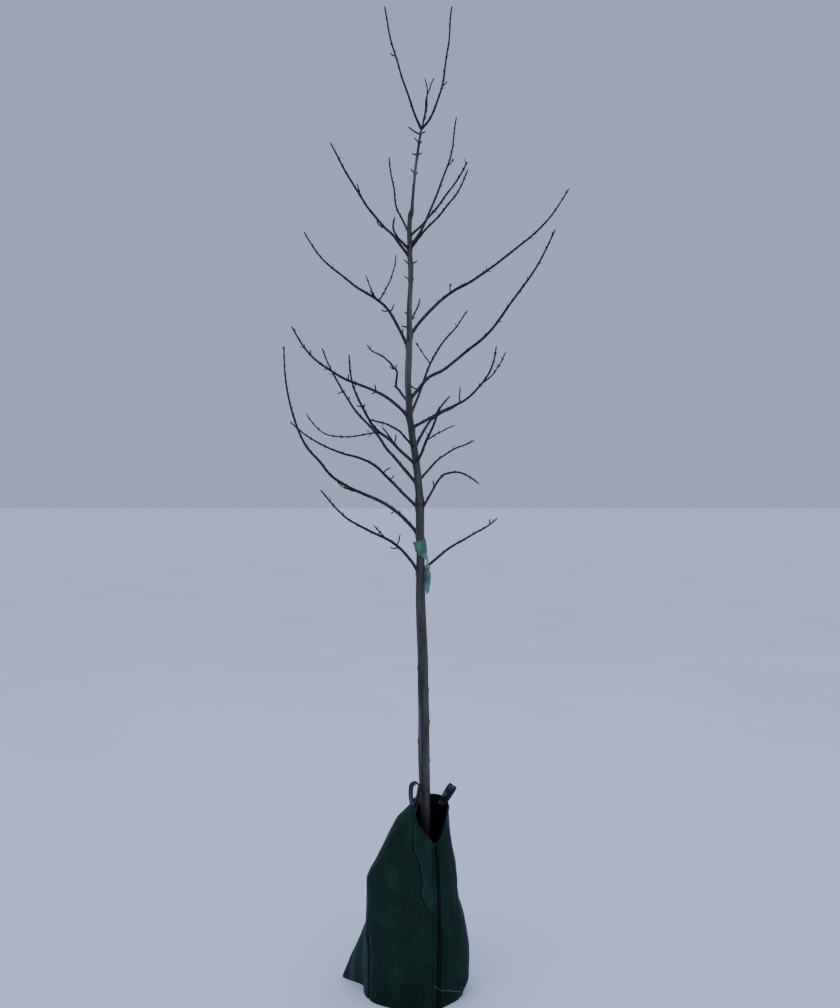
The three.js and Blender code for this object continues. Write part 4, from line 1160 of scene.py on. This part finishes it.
def bag_surface(turn, height, lift=0.0):
    """Points of the bag's creased outer face at turns from the zip and heights."""
    angle = zip_angle(height) + turn
    middle, out = bag_outline(angle, height)
    around = np.arctan2(np.sin(angle - FIN["angle"]), np.cos(angle - FIN["angle"]))
    fin = FIN["reach"] * np.maximum(1 - height / FIN["height"], 0) * hump(around, FIN["width"])
    reach = np.linalg.norm(out, axis=-1)
    plain = middle + out
    relief, marks, step = bag_relief(turn, height, plain[..., 0], plain[..., 1])
    aside = np.arctan2(np.sin(angle), np.cos(angle))
    relief = relief + 5.5 * np.exp(-((height - RIM + 14) / 7) ** 2 - (aside / 0.4) ** 2)
    leftmost = hump(np.abs(aside) - math.pi, 0.45)
    relief = relief + 3.5 * leftmost * smooth((430 - height) / 50) * smooth((height - 130) / 60)
    relief = relief - 3.5 * hump(aside, 0.5) * smooth((230 - height) / 60) * smooth((height - 20) / 60)
    relief = relief - 17 * smooth((48 - height) / 48) * smooth((plain[..., 0] - 40) / 90)
    calm = smooth((rim_height(turn) - height) / 30) * 0.7 + 0.3
    near_zip = smooth(np.abs(turn) * SHEET_TURN / 26)
    size = (reach + fin + relief * calm * (0.25 + 0.75 * near_zip) + lift) / reach
    return middle + out * size[..., None], marks, step


def make_bag(materials):
    """The sleeve: a creased outer sheet, a dark inner one, and a turned hem at the rim and the foot."""
    columns, rows = 400, 190
    t, s = np.meshgrid(-math.pi + circle(columns), np.linspace(0, 1, rows), indexing="xy")
    height = s * rim_height(t)
    outer, marks, step = bag_surface(t, height)
    inner = bag_surface(t, height * 0.995 + 1.2, -2 * SHEET)[0]
    roll, roll_in = (bag_surface(t[-1:], rim_height(t[-1:]) + 2.0, lift * SHEET)[0] for lift in (-0.6, -1.5))
    layers = np.concatenate([outer, roll, roll_in, inner[::-1]], axis=0)
    layers[..., 2] = np.maximum(layers[..., 2], 0)
    pile = Pile()
    pile.add_grid(layers, ring_seam)
    slots = np.zeros(len(pile.faces), dtype=int)
    # Faces of the flap take the lighter green: painted light, for the panel that faces the sky more.
    on_flap = (step > 0.5)[:-1].reshape(-1)
    slots[:len(on_flap)] = on_flap
    slots[(rows + 1) * columns:] = 2
    pile.slots = slots.tolist()
    sheets = [materials[name] for name in ("bag", "lit_flap", "lining")]
    bag = pile.piece("bag_sheet", sheets, "bag_sheet", "bag")
    lengths = np.linalg.norm(np.diff(layers, axis=1, append=layers[:, :1]), axis=-1)
    around = np.concatenate([np.zeros((len(layers), 1)), np.cumsum(lengths, axis=1)[:, :-1]], axis=1)
    along = np.concatenate([s * RIM, np.full((2, columns), RIM + 2.0), (s * RIM)[::-1]], axis=0)
    painted_light_rows = np.concatenate([marks, np.zeros((2, columns)), np.zeros_like(marks)], axis=0)
    add_layers(bag, weave_u=around / WEAVE, weave_v=along / WEAVE, marks=painted_light_rows)


def surface_strip(pile, turns, heights, lift, thick, half):
    """A thin band laid on the bag along a line of turns and heights, half as wide to either side."""
    centre = bag_surface(turns, heights, lift)[0]
    along = tangents(centre)
    across = bag_surface(turns + 0.03, heights, lift)[0] - centre
    across -= along * (across * along).sum(axis=1)[:, None]
    across /= np.linalg.norm(across, axis=1)[:, None]
    normal = np.cross(across, along)
    section = [(-1, 0), (-0.92, 1), (0, 1.15), (0.92, 1), (1, 0), (0.92, -1), (0, -1), (-0.92, -1)]
    rings = np.stack([centre + across * half * u + normal * thick / 2 * v for u, v in section], axis=1)
    rings[..., 2] = np.maximum(rings[..., 2], 0)
    pile.add_grid(rings, lids)


def stitches(pile, turns, heights, lift, length=3.0, gap=1.6, radius=0.35):
    """A row of stitches on the bag along a line of turns and heights."""
    line = bag_surface(turns, heights, lift)[0]
    travel = travelled(line)
    for start in np.arange(1, travel[-1] - length, length + gap):
        ends = [point_along(line, travel, start + d) for d in np.linspace(0, length, 4)]
        tube(pile, ends, radius * np.array([0.5, 1, 1, 0.5]), 5)


def make_zip(materials):
    """Zip: two sewn bands of the sheet, a ribbed tape, its teeth, a slider and its pull."""
    top = float(rim_height(np.array(0.0)))
    heights = np.linspace(0, top - 1, ZIP["rows"])
    zero = np.zeros_like(heights)
    width = np.linalg.norm(bag_outline(zip_angle(heights), heights)[1], axis=1)
    bands, threads, tape, teeth = Pile(), Pile(), Pile(), Pile()
    for side in (-1, 1):
        turns = side * (ZIP["tape"] / 2 + ZIP["band"] / 2 - ZIP["under"]) / width
        surface_strip(bands, turns, heights, **ZIP_BAND)
        for inset in (2.2, ZIP["band"] - 2.5):
            line = side * (ZIP["tape"] / 2 - ZIP["under"] + inset) / width
            stitches(threads, line, heights, ZIP["thread_lift"])
    surface_strip(tape, zero, heights, **ZIP_TAPE)
    centre = bag_surface(zero, heights, ZIP["tooth_lift"])[0]
    travel = travelled(centre)
    for k, start in enumerate(np.arange(2, travel[-1] - 12, ZIP["pitch"] / 2)):
        here = point_along(centre, travel, start)
        side = 1 if k % 2 else -1
        normal = zip_normal(here[2])
        level = unit(np.cross(UP, normal))
        ends = [here + level * side * u + normal * v
                for u, v in ((2.5, 0.1), (1.6, 0.7), (0, 0.9), (-0.7, 0.5))]
        tube(teeth, ends, ZIP["tooth"] / 2 * np.array([0.7, 1, 1.05, 0.7]), 6, 0.5)
    bands.piece("zip_bands", [materials["binding"]], "bag_sheet")
    threads.piece("zip_stitches", [materials["thread"]], "bag_sheet")
    tape.piece("zip_tape", [materials["tape"]], "zip_tape", "zip")
    teeth.piece("zip_teeth", [materials["teeth"]], "zip_tape")
    make_slider(centre[-1] - UP * 9, zip_normal(top), materials["teeth"])


def block(pile, centre, axes, sizes, power=4.0, rows=12, columns=20):
    """A rounded block: a superellipsoid with flat faces and soft edges."""
    u = np.linspace(-math.pi / 2, math.pi / 2, rows)[:, None]
    v = circle(columns)[None, :]

    def soft(x):
        return rounded(x, 2 / power)

    local = np.stack([soft(np.cos(u)) * soft(np.cos(v)), soft(np.cos(u)) * soft(np.sin(v)),
                      soft(np.sin(u)) + 0 * v], axis=-1).reshape(-1, 3)
    shape = centre + sum(local[:, k:k + 1] * sizes[k] / 2 * axes[k] for k in range(3))
    pile.add(shape, grid_faces(rows, columns))


def make_slider(place, normal, material):
    """The zip's slider, its bridge and its ribbed pull."""
    pile = Pile()
    level = unit(np.cross(UP, normal))
    axes = (level, normal, UP)
    block(pile, place + normal * 1.6, axes, (8.5, 3.4, 11))
    block(pile, place + normal * 3.6 + UP * 1.0, axes, (2.6, 2.4, 7.0), 2.6)
    hang = unit(-UP + normal * 0.10)
    block(pile, place + normal * 4.2 + hang * 12, (level, np.cross(hang, level), hang), (6.2, 1.3, 19), 5.0)
    for z in np.linspace(5, 18, 7):
        block(pile, place + normal * 4.9 + hang * z, axes, (4.6, 0.7, 0.9), 3.0, 6, 8)
    pile.piece("zip_slider", [material], "zip_tape")


def strap_line(row):
    """Middle line of a webbing loop: up from its tail, round and back down, in its own plane."""
    half = row["loop"] / 2 - STRAP["centre"]
    top = row["length"] - row["loop"] / 2
    near = STRAP["centre"]
    s = np.linspace(0, 1, 26)[:, None]

    def bend(sign):
        a, c = np.array([sign * near, 0.0]), np.array([sign * half, top])
        b = np.array([sign * half, top * STRAP["bulge"]])
        return (1 - s) ** 2 * a + 2 * s * (1 - s) * b + s * s * c

    arc = np.linspace(0, math.pi, 30)[1:-1, None]
    over = np.concatenate([half * np.cos(arc), top + half * np.sin(arc)], axis=1)
    tail = np.array([[near, -STRAP["tail"]], [near, -STRAP["tail"] * 0.5]])
    other = tail[::-1] * np.array([-1, 1])
    return np.concatenate([tail, bend(1), over, bend(-1)[::-1], other])


def turned(points, row):
    """A point of a loop's own frame in the tree's: turned, tilted and set on the rim."""
    a, b = math.radians(row["turn"]), math.radians(row["tilt"])
    x = points[..., 0] * math.cos(a) - points[..., 1] * math.sin(a)
    y = points[..., 0] * math.sin(a) + points[..., 1] * math.cos(a)
    z = points[..., 2]
    return np.stack([x * math.cos(b) + z * math.sin(b) + row["x"], y + row["y"],
                     -x * math.sin(b) + z * math.cos(b) + RIM - row["sink"]], axis=-1)


def strap_section():
    """Section of the webbing as shares of its width and millimetres of its thickness: ribbed and cupped."""
    across = np.linspace(-1, 1, 21)
    edge = np.sqrt(np.maximum(1 - np.abs(across) ** 8, 0.02))
    skin = STRAP["thickness"] / 2 * edge * (1 + 0.08 * np.cos(across * math.pi * 9))
    cup = STRAP["cup"] * across ** 2
    return list(zip(across, cup + skin)) + list(zip(across, cup - skin))[::-1]


def make_handle(row, material, thread_material):
    """A loop of woven webbing with rolled edges, its two ends sewn together at the rim."""
    line = strap_line(row)
    travel = travelled(line)
    along = tangents(line)
    normal = np.stack([along[:, 1], -along[:, 0]], axis=-1)
    half = STRAP["width"] / 2
    section = strap_section()
    rings = []
    for (x, z), (nx, nz), gone in zip(line, normal, travel / travel[-1]):
        lean = STRAP["twist"] * math.sin(2 * math.pi * gone)
        c, s = math.cos(lean), math.sin(lean)
        rings.append([[x + nx * (v * c + half * u * s), half * u * c - v * s, z + nz * (v * c + half * u * s)]
                      for u, v in section])
    pile = Pile()
    pile.add_grid(turned(np.array(rings), row), lids)
    strap = pile.piece(row["name"] + "_webbing", [material], "webbing", row["name"])
    u = np.tile(np.array([s[0] for s in section]) * half / STRAP["rib"], (len(line), 1))
    v = np.tile(travel[:, None] / STRAP["pick"], (1, len(section)))
    add_layers(strap, weave_u=u, weave_v=v)
    sew_handle(row, thread_material)


def sew_handle(row, material):
    """Stitched box with a cross through the two ends of a loop, on both faces."""
    sewing = Pile()
    face = STRAP["centre"] + STRAP["thickness"] / 2 + 1.0
    corners = [(-8, -3), (8, -3), (8, -14), (-8, -14), (-8, -3), (8, -14), (8, -3), (-8, -14)]
    for sign in (1, -1):
        for (a, b), (c, d) in zip(corners, corners[1:]):
            count = max(int(math.hypot(c - a, d - b) / 3.2), 1)
            for k in range(count):
                w = np.array([k / count + 0.08, (k + 0.35) / count, (k + 0.7) / count])
                spots = np.stack([np.full(3, sign * face), a + (c - a) * w, b + (d - b) * w], axis=-1)
                tube(sewing, turned(spots, row), np.array([0.2, 0.34, 0.2]), 5)
    sewing.piece(row["name"] + "_stitches", [material], "webbing")


def make_hems(materials):
    """Stitched hems of the rim and the foot, the welded seam near the foot, and a painted highlight near the
    rim.
    """
    sewing, weld, piping = Pile(), Pile(), Pile()
    turns = np.linspace(-math.pi, math.pi, 420)
    for inset in (7, 10):
        stitches(sewing, turns, rim_height(turns) - inset, 0.35, 3.2, 1.8)
    stitches(sewing, turns, np.full_like(turns, 22.0), 0.4, 3.4, 1.8)
    body = np.linspace(-1.85, 3.45, 380)
    surface_strip(piping, body, 62 - 10 * np.sin(body), 0.2, 0.8, 2.0)
    seam_turns, seam_heights = zip(*SEAM)
    right = np.linspace(seam_turns[0], seam_turns[-1], 60)
    heights = np.interp(right, seam_turns, seam_heights)
    surface_strip(weld, right, heights, 0.5 + 1.5 * hump(right, 0.16), 0.9, 0.55)
    # A short pale strip just inside the rim's right edge: a painted edge highlight, in the pale thread.
    surface_strip(weld, np.linspace(0.80, 0.87, 14), np.linspace(570, 536, 14), 0.4, 0.9, 0.9)
    surface_strip(piping, turns, rim_height(turns) - 2.0, 0.3, 2.6, 2.6)
    sewing.piece("hem_stitches", [materials["thread"]], "bag_sheet")
    weld.piece("foot_seam_and_rim_highlight", [materials["pale_thread_and_highlight"]], "bag_sheet")
    piping.piece("rim_binding", [materials["binding"]], "bag_sheet")


# The ribbon


def make_band(material):
    """A thin band pulled round the trunk."""
    a, s = np.meshgrid(circle(BAND["columns"]), np.linspace(0, 1, BAND["rows"]), indexing="xy")
    right = (np.cos(a) + 1) / 2
    top = BAND["left"] + (BAND["right"] - BAND["left"]) * right
    bottom = BAND["low_left"] + (BAND["low_right"] - BAND["low_left"]) * right
    height = bottom + (top - bottom) * s
    flare = (1 - right) ** 3 * s
    snug = trunk_radius(height) + 1.0
    wide = snug + (BAND["wide"] - snug) * (0.25 + 0.75 * flare) + 3 * right * (1 - s) + BAND["corner"] * flare
    wide = wide + BAND["bulge"] * right ** 2 * np.sin(math.pi * np.clip(0.1 + 0.9 * s, 0, 1))
    deep = snug + 1.2
    folds = 0.8 * grain(a / (2 * math.pi) * 12, s * 2.2, 12, 61) + 0.9 * np.sin(3 * a + 4 * s) * (1 - s) * 0.5
    layers = []
    for lift in (0.25, -0.25):
        x = trunk_lean(height) + (wide + folds + lift) * rounded(np.cos(a), BAND["roundness"])
        y = -BAND["forward"] * 0.3 + (deep + folds + lift) * rounded(np.sin(a), BAND["roundness"])
        layers.append(np.stack([x, y, height], axis=-1))
    pile = Pile()
    pile.add_grid(np.concatenate([layers[0], layers[1][::-1]], axis=0), ring_seam)
    pile.piece("ribbon_wrap", [material], "ribbon", "ribbon_band")


def ribbon_sheet(pile, path, half_at, cup):
    """A thin cupped strip along a path, seen broad from the front."""
    path = np.asarray(path, dtype=float)
    along = tangents(path)
    across = np.cross(along, np.array([0.12, -1.0, 0.0]))
    norms = np.linalg.norm(across, axis=1)[:, None]
    across = np.where(norms > 0.2, across / np.maximum(norms, 0.2), np.array([0, 0, 1.0]))
    normal = np.cross(across, along)
    u = np.linspace(-1, 1, 13)
    layers = []
    for lift in (0.2, -0.2):
        rows = []
        for k, point in enumerate(path):
            w = k / (len(path) - 1)
            crease = cup * (1 - u ** 2) + 0.5 * np.sin(u * 7 + w * 5)
            rows.append(point + across[k] * (half_at(w) * u)[:, None] + normal[k] * (crease + lift)[:, None])
        layers.append(np.array(rows))
    pile.add_grid(np.concatenate([layers[0], layers[1][:, ::-1]], axis=1), lids)


def make_knot_and_tail(material):
    """A strip down from the band, a knot of turns round a core, and a hanging tail."""
    pile = Pile()
    knot = np.array([KNOT["x"], KNOT["y"], KNOT["height"]])
    ribbon_sheet(pile, [knot + [0.5, 4, 36], knot + [0.8, 2, 22], knot + [0.6, -1, 9], knot],
                 lambda w: 2.6 + 1.2 * w, 0.6)
    size = KNOT["radius"] - 1.5
    for k in range(KNOT["turns"]):
        lean = math.radians(KNOT["first_lean"] + KNOT["lean_step"] * k)
        around = np.linspace(0, 2 * math.pi, 30)
        loop = np.stack([size * np.cos(around) * math.cos(lean), 5.4 * np.sin(around),
                         size * np.cos(around) * math.sin(lean)], axis=-1) + knot
        ribbon_sheet(pile, loop, lambda w: 3.4, 1.3)
    block(pile, knot, np.eye(3), KNOT["core"], 2.2, 14, 20)
    down = np.linspace(0, 1, 44)
    x = KNOT["x"] + TAIL["swing"] * np.sin(math.pi * down ** 0.7)
    y = KNOT["y"] - 4 * np.sin(math.pi * down)
    path = np.stack([x, y, KNOT["height"] - down * TAIL["length"]], axis=-1)
    shares, halves = zip(*TAIL_SHAPE)
    ribbon_sheet(pile, path, lambda w: TAIL["width"] / 2 * float(np.interp(w, shares, halves)), 3.4)
    pile.piece("ribbon_knot_and_tail", [material], "ribbon", "ribbon_tail")


# Floor, light and camera


def put(name, data, place, rotation):
    """A light or camera in the scene."""
    holder = bpy.data.objects.new(name, data)
    holder.location = place
    holder.rotation_euler = rotation
    bpy.context.scene.collection.objects.link(holder)
    return holder


def make_floor():
    bpy.ops.mesh.primitive_plane_add(size=600, location=(0, 0, -0.0005))
    floor = bpy.context.object
    floor.name = "floor"
    floor.data.materials.append(floor_material())


def make_lights():
    """An overcast sky: an even world, a very soft sun and three large lights."""
    world = bpy.data.worlds.new("overcast")
    world.use_nodes = True
    background = world.node_tree.nodes["Background"]
    background.inputs["Color"].default_value = (*linear(172, 183, 219), 1)
    background.inputs["Strength"].default_value = 0.91
    bpy.context.scene.world = world
    cloud = bpy.data.lights.new("cloud", "SUN")
    cloud.angle = math.radians(150)
    cloud.energy = 1.15
    cloud.color = (0.86, 0.92, 1.0)
    put("cloud", cloud, (0, 0, 0), (0.12, 0.1, 0))
    for name, place, size, power in SKY_LIGHTS:
        light = bpy.data.lights.new(name, "AREA")
        light.size = size
        light.energy = power
        x, y, z = np.array([0, 0, LIT_HEIGHT]) - np.array(place)
        put(name, light, place, (math.atan2(math.hypot(x, y), -z), 0, math.atan2(-x, y)))


def make_camera():
    camera = bpy.data.cameras.new("camera")
    camera.lens = CAMERA["lens"]
    place = (CAMERA["x"] * MM, -CAMERA["distance"] * MM, CAMERA["height"] * MM)
    bpy.context.scene.camera = put("camera", camera, place, (math.pi / 2, 0, 0))


def main():
    make_floor()
    make_lights()
    make_camera()
    materials = dict(
        limb=limb_bark("limb_bark", linear(36, 32, 33), linear(53, 48, 48), linear(76, 70, 67), 0.76),
        twig=limb_bark("twig_bark", linear(23, 19, 21), linear(35, 30, 32), linear(54, 47, 46), 0.7),
        bud=bud_scale(),
        bag=woven_sheet("bag_green", linear(6, 29, 20), linear(10, 41, 28), linear(24, 61, 45), 0.6),
        # The flap's green is a lighter copy of the bag's: painted light, for the panel that faces the sky
        # more.
        lit_flap=woven_sheet("flap_green_painted_lit", linear(9, 34, 25), linear(14, 48, 35), linear(28, 67, 53), 0.56),
        lining=woven_sheet("lining_black", linear(2, 3, 4), linear(4, 6, 7), linear(9, 13, 13), 0.7),
        binding=woven_sheet("binding_green", linear(7, 28, 22), linear(11, 40, 30), linear(25, 60, 48), 0.6),
        thread=thread("dark_thread", linear(14, 36, 32)),
        pale_thread_and_highlight=thread("pale_thread_and_highlight", linear(104, 128, 124)),
        tape=zip_tape(),
        teeth=zip_teeth(),
        webbing=webbing(),
        black_thread=thread("black_thread", linear(22, 22, 26)),
        ribbon=ribbon_film(),
        trunk=trunk_bark(),
    )
    make_limbs(materials)
    make_trunk(materials["trunk"])
    make_bag(materials)
    make_zip(materials)
    for row in HANDLES:
        make_handle(row, materials["webbing"], materials["black_thread"])
    make_hems(materials)
    make_band(materials["ribbon"])
    make_knot_and_tail(materials["ribbon"])


main()
